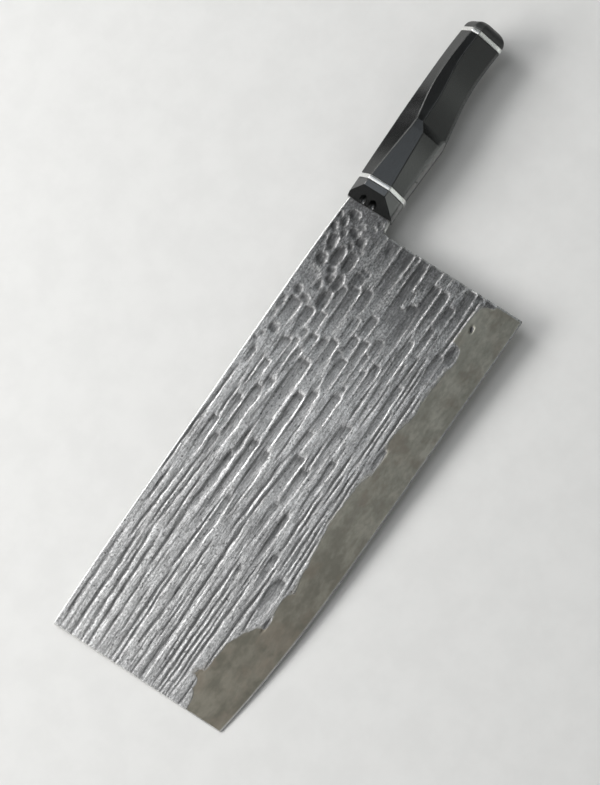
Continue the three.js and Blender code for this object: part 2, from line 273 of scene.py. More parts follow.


# hammered faces: forge scale and painted shade towards the neck, less of it on the high spots, painted
# highlights on the lips of the strokes, painted shade in the hollows and creases
def forgedTone(tree, spot, mask, share, hollow, scaleAndShade):
    along, across = splitXyz(tree, spot)[:2]
    depth, rim, cavity = (readAttribute(tree, name) for name in ("depth", "rim", "cavity"))
    covered = times(tree, scaleAndShade, remap(tree, across, *steelZone["scaleAndShadeAcross"]),
                    timesPlus(tree, hollow, *steelMix["rubbed"]))
    # painted shade: the hollows and the creases are darkened with the dark floor colour
    paintedHollowShade = times(tree, hollow, timesPlus(tree, scaleAndShade, *steelMix["paintedHollowShade"]))
    paintedCreaseShade = remap(tree, cavity, *steelZone["crease"])
    # the hammer's face left lengthwise bands in the hollows
    inside = times(tree, remap(tree, depth, *steelZone["bandDepth"]),
                   remap(tree, along, *steelZone["bandAlong"]))
    # painted highlight on the lips of the strokes
    rimHighlight = times(tree, rim, timesPlus(tree, scaleAndShade, *steelMix["rimHighlight"]))
    gritty = times(tree, timesPlus(tree, scaleAndShade, *steelMix["gritty"]),
                   timesPlus(tree, hollow, *steelMix["grittyHollow"]))
    return paint(tree, steelLook, steelLook["land"], [
        (share["cloud"], "floor"), (share["streak"], "floor"), (share["crack"], "floor"),
        (covered, "scaleAndShade"), (paintedHollowShade, "floor"), (paintedCreaseShade, "floor"),
        (times(tree, share["band"], inside), "band"), (rimHighlight, "paintedHighlight"),
        (times(tree, mask["speck"], gritty), "speck"), (share["pit"], "speck"),
        (share["pinhole"], "speck"), (share["paintedGlint"], "paintedHighlight")])


# ground bevel: satin, faintly clouded, with painted shade darker towards the tip
def satinTone(tree, spot, mask, share):
    tipShade = remap(tree, splitXyz(tree, spot)[0], *steelZone["tip"])
    dull = blendColor(tree, tipShade, steelLook["ground"], steelLook["shadedTipGround"])
    pale = blendColor(tree, tipShade, steelLook["groundPale"], steelLook["shadedTipPale"])
    return paint(tree, steelLook, blendColor(tree, mask["haze"], dull, pale),
                 [(share["tan"], "tan"), (share["stain"], "stain")])


def makeSteel():
    material, tree, surface, spot = newMaterial("hammeredSteel")
    mask, raw = steelMasks(tree, spot)
    ground = readAttribute(tree, "ground")
    isGround = remap(tree, ground, *steelZone["bevel"])
    # painted highlight: a thin bright line where the bevel meets the forged face
    outer, inner = (remap(tree, ground, *steelZone[name]) for name in ("seamHighlightOuter", "seamHighlightInner"))
    mask["paintedHighlight"] = times(tree, outer, inner)  # thin bright line where the bevel meets the forged face
    share = {name: times(tree, mask[name], part) for name, part in steelShare.items()}
    hollow = remap(tree, readAttribute(tree, "depth"), *steelZone["hollow"])
    # forge scale and painted shade: the forged faces get darker towards the neck
    uneven = timesPlus(tree, raw["cloud"], steelLook["cloudReach"], splitXyz(tree, spot)[0])
    scaleAndShade = remap(tree, uneven, *steelZone["scaleAndShadeAlong"])
    satin = satinTone(tree, spot, mask, share)
    # the high spots beside the bevel were touched by the stone too
    touched = times(tree, remap(tree, ground, *steelZone["touched"]), mask["haze"], minus(tree, 1.0, hollow))
    tone = blendColor(tree, touched, forgedTone(tree, spot, mask, share, hollow, scaleAndShade), satin)
    # rubbed edges, painted with the highlight colour
    wornAndHighlighted = addWearAndHighlight(tree, spot, *steelLook["wearAndHighlight"])
    color = blendColor(tree, isGround, tone, satin)
    color = paint(tree, steelLook, color, [(share["paintedHighlight"], "paintedHighlight"), (wornAndHighlighted, "paintedHighlight")])
    roughForged = timesPlus(tree, mask["speck"], *steelMix["roughForged"])
    roughGround = timesPlus(tree, mask["scratch"], *steelMix["roughGround"])
    rough = addNode(tree, "ShaderNodeMix", {0: isGround, 2: roughForged, 3: roughGround}, data_type="FLOAT")
    rough = timesPlus(tree, wornAndHighlighted, steelLook["wornRough"], rough.outputs[0])
    holes = calc(tree, "MAXIMUM", mask["pit"], mask["pinhole"])
    grit = timesPlus(tree, raw["streak"], steelLook["streakDeep"], raw["speck"])
    grit = timesPlus(tree, holes, steelLook["pitDeep"], grit)
    grit = times(tree, grit, timesPlus(tree, scaleAndShade, *steelMix["coarse"]), minus(tree, 1.0, isGround))
    height = timesPlus(tree, raw["scratch"], times(tree, isGround, steelLook["scratchDeep"]), grit)
    setLook(tree, surface, color, rough, height, steelLook["bump"])
    surface["Metallic"].default_value = 1.0
    return material


# the light grey on the corners is rub and a painted highlight along the ridges and the belly
woodLook = {
    "dark": (0.0030, 0.0034, 0.0034, 1), "vein": (0.0062, 0.0068, 0.0066, 1), "rubAndHighlight": (0.34, 0.345, 0.335, 1),
    "veinGrain": (900, 16, 0.4, 0.75), "poreGrain": (2600, 9, 0.55, 0.75), "wearAndHighlight": (300.0, 0.9),
    "rubAndHighlightShare": 0.6, "roughness": 0.22, "wornRough": 0.08, "poreRough": 0.05,
    "shine": 0.85, "coat": 0.0, "coatRoughness": 0.2, "bump": (0.02, 0.0001),
}
bolsterLook = {**woodLook, "coat": 1.0}
capLook = {  # end grain takes less polish
    **woodLook, "dark": (0.024, 0.025, 0.0245, 1), "vein": (0.034, 0.035, 0.034, 1),
    "rubAndHighlight": (0.12, 0.123, 0.12, 1), "roughness": 0.42,
}


def makeBlackWood(name, look):
    material, tree, surface, spot = newMaterial(name)
    vein = addGrain(tree, spot, look["veinGrain"])["Mask"]
    pore = addGrain(tree, spot, look["poreGrain"])["Mask"]
    wornAndHighlighted = addWearAndHighlight(tree, spot, *look["wearAndHighlight"])
    # rubbed corners with a painted highlight in light grey
    color = paint(tree, look, look["dark"], [(vein, "vein"), (times(tree, wornAndHighlighted, look["rubAndHighlightShare"]), "rubAndHighlight")])
    rough = timesPlus(tree, pore, look["poreRough"], look["roughness"])
    rough = timesPlus(tree, wornAndHighlighted, look["wornRough"], rough)
    setLook(tree, surface, color, rough, pore, look["bump"])
    surface["Specular IOR Level"].default_value = look["shine"]
    surface["Coat Weight"].default_value = look["coat"]
    surface["Coat Roughness"].default_value = look["coatRoughness"]
    return material


spacerLook = {
    "bright": (0.95, 0.95, 0.93, 1), "dull": (0.78, 0.78, 0.77, 1), "brushGrain": (5200, 30, 0.35, 0.7),
    "smearGrain": (420, 1, 0.35, 0.75), "brushShare": 0.5, "smearShare": 0.25, "rough": (0.12, 0.26),
    "bump": (0.15, 0.0001),
}


def makeSpacerMetal():
    material, tree, surface, spot = newMaterial("spacerMetal")
    # brushed round the handle, so the lines run across the knife
    turned = addNode(tree, "ShaderNodeMapping", {"Vector": spot, "Rotation": (0, 0, math.pi / 2)})
    brush = addGrain(tree, turned.outputs[0], spacerLook["brushGrain"])
    smear = addGrain(tree, spot, spacerLook["smearGrain"])["Mask"]
    color = paint(tree, spacerLook, spacerLook["bright"],
                  [(times(tree, brush["Mask"], spacerLook["brushShare"]), "dull"),
                   (times(tree, smear, spacerLook["smearShare"]), "dull")])
    rough = timesPlus(tree, brush["Mask"], *spacerLook["rough"])
    setLook(tree, surface, color, rough, brush["Raw"], spacerLook["bump"])
    surface["Metallic"].default_value = 1.0
    return material


resinLook = {
    "name": "beddingResin", "first": (0.20, 0.15, 0.085, 1), "second": (0.27, 0.21, 0.13, 1),
    "grain": (420, 1.5, 0.3, 0.7), "rough": (0.15, 0.5), "bump": (0.2, 0.0003), "metallic": 0.0,
}
dowelLook = {
    "name": "drawnRod", "first": (0.50, 0.51, 0.52, 1), "second": (0.36, 0.37, 0.38, 1),
    "grain": (4200, 25, 0.35, 0.7), "rough": (0.15, 0.32), "bump": (0.15, 0.0001), "metallic": 1.0,
}


def makeHidden(look):
    material, tree, surface, spot = newMaterial(look["name"])
    grain = addGrain(tree, spot, look["grain"])
    color = blendColor(tree, grain["Mask"], look["first"], look["second"])
    rough = timesPlus(tree, grain["Mask"], *look["rough"])
    setLook(tree, surface, color, rough, grain["Raw"], look["bump"])
    surface["Metallic"].default_value = look["metallic"]
    return material


steel = makeSteel()
blackWood = makeBlackWood("blackWood", woodLook)
bolsterWood = makeBlackWood("bolsterWood", bolsterLook)
capWood = makeBlackWood("capWood", capLook)
spacerMetal = makeSpacerMetal()
print("materials ready")


# blade

blade = {
    "neckX": 0.15, "heelX": 6.2, "heelLean": 0.5, "heelLift": 0.1, "tipX": 228.0, "heelY": 95.6,
    "edgeFall": 3.6, "edgeSweep": 5.8, "edgeSweepX": 120, "edgeSweepPower": 2.6,
    "spineDropNeck": 1.1, "spineBendNeck": 46, "spineDropTip": 0.7, "spineBendTip": 52,
    "neckLow": 22.5, "neckFlare": 0.7, "neckFillet": 2.2,
    "spineThick": 3.7, "tipThick": 2.5, "thinning": 0.0185, "edgeLand": 0.3,
    "spineBreak": 0.45, "tipBreak": 0.2, "heelBreak": 0.25, "neckBreak": 0.7, "edgeBreak": 0.05,
    "tipRound": 0.8, "heelRound": 0.6, "edgeRub": 0.9, "sharpAngle": 38,
    "breakLess": 0.5, "breakFrom": 40, "breakOver": 120,  # the spine's chamfer narrows towards the tip
    "thinReach": 20, "thinBreak": 0.2, "leastHalf": 0.1,  # corners near the edge are broken less
    "easeOut": 0.6, "easeDown": 0.25,  # middle line of a broken corner, as shares of it
    # how fine the faces are
    "upperRows": 66, "lowerRows": 184, "neckSteps": (0.8, 1.45, 2.1, 2.75, 3.4), "filletSteps": 9,
    "step": 0.8, "stepMore": 1.1, "stepFrom": 50, "stepOver": 90,
    "tipSpare": 3.2, "tipSteps": (1.0, 0.6, 0.35, 0.15, 0),
}
neckJointY = blade["neckLow"] + blade["neckFlare"] + blade["neckFillet"]
tang = {
    "length": 66, "spineY": 6.8, "wide": 10, "endWide": 6, "thick": 3.2, "endThick": 2.4,
    "stations": (-15, -30, -45),
}


def halfThick(x, y):
    b = blade
    share = (x - b["heelX"]) / (b["tipX"] - b["heelX"])
    return (b["spineThick"] + (b["tipThick"] - b["spineThick"]) * share - b["thinning"] * y) / 2


def spineY(x):
    b = blade
    toNeck = np.maximum(0, b["spineBendNeck"] - x) / b["spineBendNeck"]
    tipShade = np.maximum(0, x - b["tipX"] + b["spineBendTip"]) / b["spineBendTip"]
    return b["spineDropNeck"] * toNeck ** 2 + b["spineDropTip"] * tipShade ** 2


def edgeY(x):
    b = blade
    share = (x - b["heelX"]) / (b["tipX"] - b["heelX"])
    sweep = np.maximum(0, x - b["edgeSweepX"]) / (b["tipX"] - b["edgeSweepX"])
    return b["heelY"] - b["edgeFall"] * share - b["edgeSweep"] * sweep ** b["edgeSweepPower"]


def cornerCut(radius, distance):
    inside = np.clip(radius - distance, 0, radius)
    return radius - np.sqrt(radius ** 2 - inside ** 2)


# half the tang's width and half its thickness
def tangHalves(x):
    share = min(1, max(0, -x / tang["length"]))
    return ((tang["wide"] + (tang["endWide"] - tang["wide"]) * share) / 2,
            (tang["thick"] + (tang["endThick"] - tang["thick"]) * share) / 2)


# where the forged face ends and the ground bevel starts, on the left face
groundLine = [
    (5, 86), (6.5, 84.5), (8, 83), (9.5, 80.5), (10.5, 78), (12, 77), (15, 76.3), (20, 75.9), (25, 75.6),
    (30, 75.3), (31, 76.5), (32, 79.5), (33.5, 81), (38, 82), (41.5, 81.8), (43, 80.8), (48, 80.3),
    (53, 79.9), (58, 79.3), (62, 78.3), (65, 79.4), (68, 80), (72, 79), (77, 77.5), (80, 76.9), (84, 77),
    (88, 78.5), (90, 78.9), (100, 78.9), (102, 77.8), (106, 76.8), (110, 76.2), (122, 75.6), (125, 75),
    (130, 75.5), (140, 77), (147, 77.8), (153, 78.2), (158, 79.5), (160, 80), (162, 79.4), (164, 77.5),
    (168, 76.9), (172, 77.5), (177, 78.3), (180, 78.5), (182, 76.5), (183, 74), (186, 72), (190, 69.5),
    (195, 68), (200, 67.2), (206, 66.8), (209, 66.5), (210, 65), (211.5, 63), (214, 63), (215, 66),
    (219, 66.6), (221, 68.5), (230, 69.5),
]

# Marks of the hammer and the fuller on the left face: x, y, length, width, turn in degrees, depth.
# A dimple's x and y are its middle. A tongue or groove starts at x, y and runs towards the tip.
dimples = [
    (5.8, 8, 5.6, 6, 0, .3), (8.8, 2.5, 3.8, 3, 0, .2), (14.8, 3, 4.2, 3.9, 0, .24),
    (10.5, 5.9, 5.6, 3.4, 10, .24), (21, 6.4, 9, 5.4, 6, .36), (15.4, 8.5, 4.6, 3.4, 0, .22),
    (12.6, 12.4, 4.8, 6.2, 0, .28), (18.8, 14.2, 3.8, 3, 0, .22), (15, 17.1, 5.6, 5.6, 0, .3),
    (25.6, 12.1, 11.4, 5.8, 0, .34), (25, 18.1, 11.4, 6, 0, .34), (30.3, 6.5, 6, 5.8, 0, .34),
    (32.4, 13.1, 4.4, 4.6, 0, .26), (36.1, 14.9, 5.4, 4.8, 0, .28), (36, 18.9, 9.8, 4.8, 0, .3),
    (7, 18.6, 3.4, 3.4, 0, .14), (3.8, 20.5, 3.4, 2.4, 0, .12), (45.5, 18.1, 11.2, 6.2, 0, .32),
    (49.8, 10.6, 4.8, 4.8, 0, .26), (47.4, 6, 4.8, 4, 0, .2), (39.3, 6.8, 10.4, 8.4, 0, .15),
    (10.8, 29.4, 7.5, 5.2, 0, .26), (7.4, 46, 4.6, 4.4, 0, .26), (7.6, 74.8, 4.6, 3.8, 0, .24),
    (67.8, 6.6, 6, 5.4, 0, .3), (72.6, 3.6, 3.4, 2.6, 0, .16), (75.8, 2.4, 3, 3.4, 0, .18),
    (37, 78.5, 11.5, 5.6, 0, .36), (178.4, 77, 5.5, 2.2, 0, .42), (21.6, 79, 3.2, 2, 25, .6),
    (8, 80.6, 4.4, 6, 0, .24), (41, 12.2, 5.2, 3.6, 0, .18), (25.2, 3.6, 5, 3.6, 0, .12),
    (56, 3, 7, 3.6, 0, .14), (62.5, 2.6, 5.6, 3, 0, .12), (9, 13.6, 4, 4.6, 0, .14),
    (19.2, 19.4, 3.6, 3.6, 0, .16), (21.6, 2.6, 4, 2.6, 0, .14), (12.8, 22.9, 5.2, 2.4, 0, .14),
]
tongues = [
    (50.5, 7.9, 16, 6.6, 0, .36), (51, 15.2, 13, 5.6, 0, .3), (35.4, 22.6, 17, 4, .5, .26),
    (49.9, 21.1, 13, 4.4, 0, .26), (24.2, 26.8, 6.5, 4.8, 0, .26), (26.9, 25.6, 9, 5.8, 0, .3),
    (32.6, 26.8, 32, 5.8, 2, .32), (30.7, 32.6, 17, 5.6, 0, .3), (2, 29.8, 30, 7.4, 0, .22),
    (0, 37.4, 48, 7, -1, .3), (3, 24.2, 22, 3.8, 0, .16), (6.5, 42.3, 26, 2.2, 0, .16),
    (8.4, 45.8, 44, 5, 0, .34), (39.5, 41, 15, 4.8, 0, .28), (51.6, 39.2, 14, 4.8, 0, .28),
    (50.8, 44, 32, 4, .5, .26), (44, 35, 16, 4.2, 0, .2), (57.8, 32.3, 27, 4.8, 0, .3),
    (57, 15.5, 11.5, 3.6, 0, .24), (67.6, 14.3, 14, 4.8, 0, .28), (80.3, 12.6, 15, 3.4, 0, .22),
    (79.3, 4.6, 10.5, 2.8, 0, .2), (92.3, 16.3, 46, 4.8, -1, .36), (100.8, 11.6, 20, 4.2, 0, .24),
    (113.2, 8, 27, 4, 0, .28), (120, 12.8, 18, 3.2, -1, .22), (86, 18.6, 14, 4.4, 0, .28),
    (66, 17.9, 23, 3, 0, .24), (60.3, 18.5, 7, 3.8, 0, .22), (69, 21.5, 18, 3.4, 0, .22),
    (60.3, 23.6, 10, 4.4, 0, .26), (72, 26.3, 42, 7, -.5, .4), (59.3, 28.5, 15, 4, 0, .26),
    (101.3, 28, 15, 3.2, 0, .22), (112.8, 28.6, 60, 4.2, -1.6, .32), (85.5, 33, 46, 5, .3, .38),
    (115.4, 34.9, 32, 4.8, -.6, .38), (81, 38, 32, 4.2, 0, .3), (62.6, 40, 21, 4.8, .5, .3),
    (61.1, 37.3, 7, 3.8, 0, .2), (66, 34.2, 16, 2.6, 0, .16), (60, 44.8, 20, 3, 0, .22),
    (56, 47.4, 20, 3.4, 0, .24), (73.3, 46.8, 7, 3.6, 0, .24), (77.8, 46.9, 26, 4.8, -.5, .3),
    (97.7, 46, 16, 4.2, -1, .26), (109.1, 48.5, 30, 5.2, -1.5, .32), (2, 52, 27, 6.4, 0, .28),
    (20.6, 48.4, 9, 4.8, 0, .26), (26.1, 53, 30, 6.4, 0, .36), (29.8, 48.8, 17, 4.8, -1, .28),
    (46.8, 49.5, 18, 4.2, 0, .24), (13.2, 56, 34, 5, 0, .34), (13.6, 61.1, 28, 4.4, 0, .3),
    (4, 58.3, 9, 3.8, 0, .22), (3, 65.6, 9, 3.6, 0, .2), (17.8, 66.7, 16, 4.4, 0, .28),
    (30.8, 64.9, 20, 3.2, 0, .24), (7, 70.6, 34, 4.8, .8, .26), (39.1, 74.4, 24, 4.2, 0, .26),
    (40.5, 77.4, 15, 3.2, 0, .22), (40, 60.5, 56, 3.2, 0, .24), (57.5, 54.2, 20, 4.2, 0, .26),
    (62, 50.4, 18, 3.4, 0, .2), (64, 53.4, 14, 2.6, 0, .16), (86.5, 58.5, 22, 4, 0, .22),
    (88, 57, 44, 3.8, -.4, .24), (103, 62, 34, 3.2, 0, .24), (60, 67.3, 44, 3.6, .3, .26),
    (87.3, 77.4, 15, 3.2, 0, .26), (113, 53.8, 24, 4.4, -.8, .28), (132.6, 51.3, 22, 3.6, 0, .22),
    (139.6, 32.7, 38, 4, 0, .26), (133.4, 58.2, 42, 3, -.6, .24), (150.6, 64, 18, 3.8, 0, .24),
    (158.9, 71.9, 30, 5.6, 0, .3), (162.8, 53.4, 16, 3, 3, .22), (124, 22.9, 44, 3.8, -3, .36),
]
grooves = [
    (88.8, 3.2, 62, 1.8, -2.2, .24), (79, 9.8, 17, 1.6, 0, .16), (96, 8.3, 19, 1.8, 0, .2),
    (106.5, 23.8, 44, 2.8, -.6, .3), (75, 37, 9, 2.2, 0, .16), (86, 40.2, 32, 1.8, 0, .2),
    (115, 43.2, 14, 1.8, -1, .18), (8.5, 75.2, 34, 1.7, -2, .26), (71.5, 70.6, 32, 1.8, 0, .2),
    (57.5, 75.2, 34, 2, 0, .24), (59, 77.3, 15, 1.6, .5, .16), (98, 74, 34, 1.6, .3, .2),
    (99, 53.7, 18, 1.8, 0, .2), (143.8, 4, 19, 2, 0, .22), (118, 7.6, 14, 1.8, .8, .2),
    (139, 8.2, 42, 1.7, -2.2, .22), (131, 11.9, 44, 1.6, -1.7, .2), (121, 15.5, 54, 1.5, -3.3, .2),
    (167, 12.6, 64, 2, 2.3, .26), (173.5, 9.1, 58, 2.4, .8, .32), (138, 17.3, 32, 1.5, 0, .18),
    (169.5, 16.5, 62, 2.1, 1.6, .28), (150, 21, 38, 2.2, -.5, .26), (179.5, 21.7, 52, 1.7, .6, .22),
    (139, 30.3, 44, 1.8, -1.4, .24), (179, 29.7, 52, 2.2, .4, .28), (172.5, 31.4, 58, 2.1, .8, .28),
    (116, 37.3, 32, 1.8, -1.5, .22), (159.5, 37.2, 40, 2.2, 0, .26), (194.5, 37.3, 22, 2.1, -2.8, .28),
    (165, 38.8, 34, 1.5, -1.5, .18), (115.5, 43.6, 40, 2.2, -3, .24), (116.5, 46.3, 30, 2, -3.4, .24),
    (141.5, 44.7, 92, 2.1, .8, .28), (171.5, 46.3, 58, 2, -.2, .26), (208, 45.2, 22, 3.4, 0, .3),
    (159.5, 51.3, 70, 2.2, 0, .28), (170.5, 54.3, 60, 2.2, -.5, .28), (171, 56.8, 60, 2.2, -1.3, .28),
    (151, 59.7, 26, 1.8, -1, .22), (162.5, 61, 68, 2.1, -1.1, .26), (175.5, 58, 54, 1.7, .5, .22),
    (117, 64.2, 34, 1.8, .8, .22), (156.5, 67.2, 58, 2.1, -1.8, .28), (213.5, 65, 18, 2.2, 0, .28),
    (173.5, 69.7, 15, 2, 1.5, .26), (134, 75.1, 33, 1.8, 2.2, .24), (159.5, 69.4, 14, 1.8, 0, .26),
    (171, 2.8, 58, 2, 1.2, .22), (198, 3, 32, 1.8, 1.5, .2), (181, 42, 40, 1.6, -.8, .18),
    (118, 53.2, 20, 1.8, .5, .18), (118, 66.5, 22, 1.8, .5, .18), (134, 68.6, 24, 1.8, .3, .18),
    (118, 70.8, 40, 1.6, .8, .18), (140, 71.5, 22, 1.6, 1, .18), (126, 73, 34, 1.5, 1.2, .18),
    (205, 40.7, 26, 1.6, 0, .2), (60, 62.9, 26, 1.6, 0, .16), (42, 69.8, 30, 1.8, .4, .18),
    (48, 71.9, 24, 1.6, 0, .16), (44, 66.6, 20, 1.8, 0, .2), (36, 58.9, 28, 1.8, 0, .18),
    (64, 57, 22, 1.8, 0, .18), (96, 66.8, 24, 1.8, 0, .2), (106, 68.6, 18, 1.6, 0, .18),
    (100, 71.8, 26, 1.6, .3, .16), (75, 72.3, 22, 1.6, .2, .16), (55, 79, 12, 1.4, -2, .14),
]
hammering = {
    "seed": 17, "depth": 1.2, "deepest": 0.48,  # deepest: share of half the blade's thickness
    "driftDepth": 0.18, "driftAcross": 1.6, "driftAlong": 16.0, "driftMiddle": 0.47,
    "wander": 0.6, "swayFine": (130.0, 260.0), "swayLonger": 2.0, "swayReach": (0.03, 0.13, 0.0014, 0.0036),
    "jag": 5.0, "jagMost": 0.3, "nibble": 2.6, "pitSpare": 0.1, "pitSteep": 12.0,
    # how fine, how detailed, how rough
    "swayNoise": (1.0, 4.0, 0.62), "driftNoise": (1.0, 3.0, 0.6), "nibbleNoise": (700.0, 3.0, 0.5),
    "bevelStart": 0.12, "bevelSoft": 0.2, "lineSmooth": 13, "lineGrid": (-80.0, 300.0),
    "rimOuter": (0.0, 0.02), "rimInner": (0.24, 0.05), "cavitySteps": 5, "faceSeed": 3.7,
    "longTongue": 18, "neckReach": (60, 30), "neckPress": 1.25,  # heavier blows on the thick neck
    "thinFrom": 130, "thinOver": 50, "thinLess": 0.3,  # lighter grooves where the blade is thin
}
otherFace = {  # the right face is struck alike, not the same
    "along": 7, "across": 2.6, "stretch": 0.25, "turn": 0.6,
    "lineStretch": 0.93, "lineShift": 61, "lineFrom": 7, "lineTo": 221,
}
strays = {  # faint short strokes between the others, none among the dimples of the neck
    "count": 150, "x": (10, 215), "neckEnd": 50, "neckFrom": 26, "from": 3, "to": 78,
    "length": (6, 28), "width": (0.8, 1.6), "turn": (-1.5, 1.5), "depth": (0.06, 0.13),
}


# Tools: one scoop of each kind, 1 long, 1 wide and 1 deep. A cut gives places across and the depth at each.
# The hammer leans, so the wall towards the edge is steeper.
leanCut = [(-1, 0), (-.93, .28), (-.8, .6), (-.6, .8), (-.3, .92), (.1, 1), (.5, .98), (.72, .88), (.86, .6),
           (.94, .28), (1, 0)]
roundCut = [(-1, 0), (-.85, .3), (-.65, .62), (-.4, .86), (-.1, 1), (.25, 1), (.55, .84), (.78, .5),
            (.9, .25), (1, 0)]
grooveCut = [(-1, 0), (-.75, .3), (-.5, .62), (-.25, .88), (0, 1), (.25, .9), (.5, .64), (.75, .3), (1, 0)]
tongueShape = {  # steps of the head and of the tail, with width and depth at each
    "head": (0, .1, .3, .6, 1), "tail": (.12, .28, .48, .7, .86, 1),
    "widths": (.28, .58, .80, .94, 1, 1, .98, .93, .85, .75, .6),
    "depths": (0, .42, .82, .98, 1, .96, .86, .70, .46, .22, 0),
    "shortHead": .13, "longHead": .055,  # the head's share of a short tongue and of a long one
}
dimpleShape = {"steps": 14, "leastWidth": .02, "widthPower": .85, "depthPower": 1.3}
grooveShape = {
    "steps": (0, .02, .06, .14, .3, .5, .7, .85, .94, 1),
    "widths": (.3, .6, .8, .95, 1, 1, .95, .85, .7, .4),
    "depths": (0, .35, .6, .85, 1, 1, .92, .7, .4, 0),
}


def makeScoop(name, steps, widths, depths, cut):
    verts = [(u, 0.5 * w * v, -d * part) for u, w, d in zip(steps, widths, depths) for v, part in cut]
    n = len(cut)
    faces = [(i * n + j, (i + 1) * n + j, (i + 1) * n + j + 1, i * n + j + 1)
             for i in range(len(steps) - 1) for j in range(n - 1)]
    mesh = bpy.data.meshes.new(name)
    mesh.from_pydata(verts, [], faces)
    return bpy.data.objects.new(name, mesh)


def makeScoops():
    dimple, tongue, groove = dimpleShape, tongueShape, grooveShape
    turns = [math.pi * i / dimple["steps"] for i in range(dimple["steps"] + 1)]
    widths = [max(dimple["leastWidth"], math.sin(a)) ** dimple["widthPower"] for a in turns]
    depths = [math.sin(a) ** dimple["depthPower"] for a in turns]
    made = [makeScoop("scoop0", [-.5 * math.cos(a) for a in turns], widths, depths, roundCut)]
    for name, head in (("scoop1", tongue["shortHead"]), ("scoop2", tongue["longHead"])):
        steps = [head * s for s in tongue["head"]] + [head + (1 - head) * s for s in tongue["tail"]]
        made.append(makeScoop(name, steps, tongue["widths"], tongue["depths"], leanCut))
    made.append(makeScoop("scoop3", groove["steps"], groove["widths"], groove["depths"], grooveCut))
    scoops = bpy.data.collections.new("scoops")
    for scoop in made:
        scoops.objects.link(scoop)
    return scoops


# the strokes of one face: kind of scoop, x, y, length, width, turn, depth
def faceStrokes(side, dice):
    h, other = hammering, otherFace
    strokes = []
    for kind, rows in ((0, dimples), (1, tongues), (3, grooves)):
        for x, y, length, width, turn, depth in rows:
            if side < 0:
                x += dice.uniform(-other["along"], other["along"])
                y += dice.uniform(-other["across"], other["across"])
                length *= dice.uniform(1 - other["stretch"], 1 + other["stretch"])
                turn += dice.uniform(-other["turn"], other["turn"])
            if kind == 0 and x < h["neckReach"][0] and y < h["neckReach"][1]:
                depth *= h["neckPress"]
            if kind == 3:
                depth *= 1 - h["thinLess"] * min(1, max(0, (x - h["thinFrom"]) / h["thinOver"]))
            scoop = 2 if kind == 1 and length > h["longTongue"] else kind
            strokes.append((scoop, x, y, length, width, turn, depth))
    for i in range(strays["count"]):
        x = dice.uniform(*strays["x"])
        y = dice.uniform(strays["from"] if x > strays["neckEnd"] else strays["neckFrom"], strays["to"])
        rest = [dice.uniform(*strays[name]) for name in ("length", "width", "turn", "depth")]
        strokes.append((3, x, y, *rest))
    return strokes


# the left face's strokes lie on a sheet above the blade, the right face's on one below it, in m
sheetHeight = 0.1
sheetReach = 0.02  # scoops are looked for this far below and above their sheet


# one point for each stroke
def makeMarks():
    dice = random.Random(hammering["seed"])
    strokes = [(side, *stroke) for side in (1, -1) for stroke in faceStrokes(side, dice)]
    side, kind, x, y, length, width, turn, depth = np.array(strokes).T
    mesh = bpy.data.meshes.new("marks")
    mesh.from_pydata(np.column_stack([x / 1000, y / 1000, side * sheetHeight]).tolist(), [], [])
    turns = np.radians(turn).astype(np.float32)
    sizes = (np.column_stack([length, width, depth]) / 1000).ravel().astype(np.float32)
    mesh.attributes.new("kind", "INT", "POINT").data.foreach_set("value", kind.astype(np.int32))
    mesh.attributes.new("turn", "FLOAT", "POINT").data.foreach_set("value", turns)
    mesh.attributes.new("size", "FLOAT_VECTOR", "POINT").data.foreach_set("vector", sizes)
    return bpy.data.objects.new("marks", mesh)


def readPoint(tree, name, kind="FLOAT"):
    return addNode(tree, "GeometryNodeInputNamedAttribute", {"Name": name}, data_type=kind).outputs[0]


def keepPoint(tree, geometry, name, value):
    inputs = {"Geometry": geometry, "Name": name, "Value": value}
    return addNode(tree, "GeometryNodeStoreNamedAttribute", inputs, data_type="FLOAT").outputs[0]


def seededNoise(tree, seed, noise, place=None):
    inputs = {"W": seed, **dict(zip(("Scale", "Detail", "Roughness"), noise))}
    if place is not None:
        inputs["Vector"] = place
    return addNode(tree, "ShaderNodeTexNoise", inputs, noise_dimensions="4D").outputs


# every stroke's scoop, set on its point
def addStrokes(tree, take):
    marks = addNode(tree, "GeometryNodeObjectInfo", {"Object": take["Marks"]})
    scoops = addNode(tree, "GeometryNodeCollectionInfo", {
        "Collection": take["Scoops"], "Separate Children": True, "Reset Children": True})
    turned = addNode(tree, "FunctionNodeEulerToRotation", {0: joinXyz(tree, z=readPoint(tree, "turn"))})
    strokes = addNode(tree, "GeometryNodeInstanceOnPoints", {
        "Points": marks.outputs["Geometry"], "Instance": scoops.outputs[0], "Pick Instance": True,
        "Instance Index": readPoint(tree, "kind", "INT"), "Rotation": turned.outputs[0],
        "Scale": readPoint(tree, "size", "FLOAT_VECTOR")})
    return addNode(tree, "GeometryNodeRealizeInstances", {"Geometry": strokes.outputs[0]}).outputs[0]


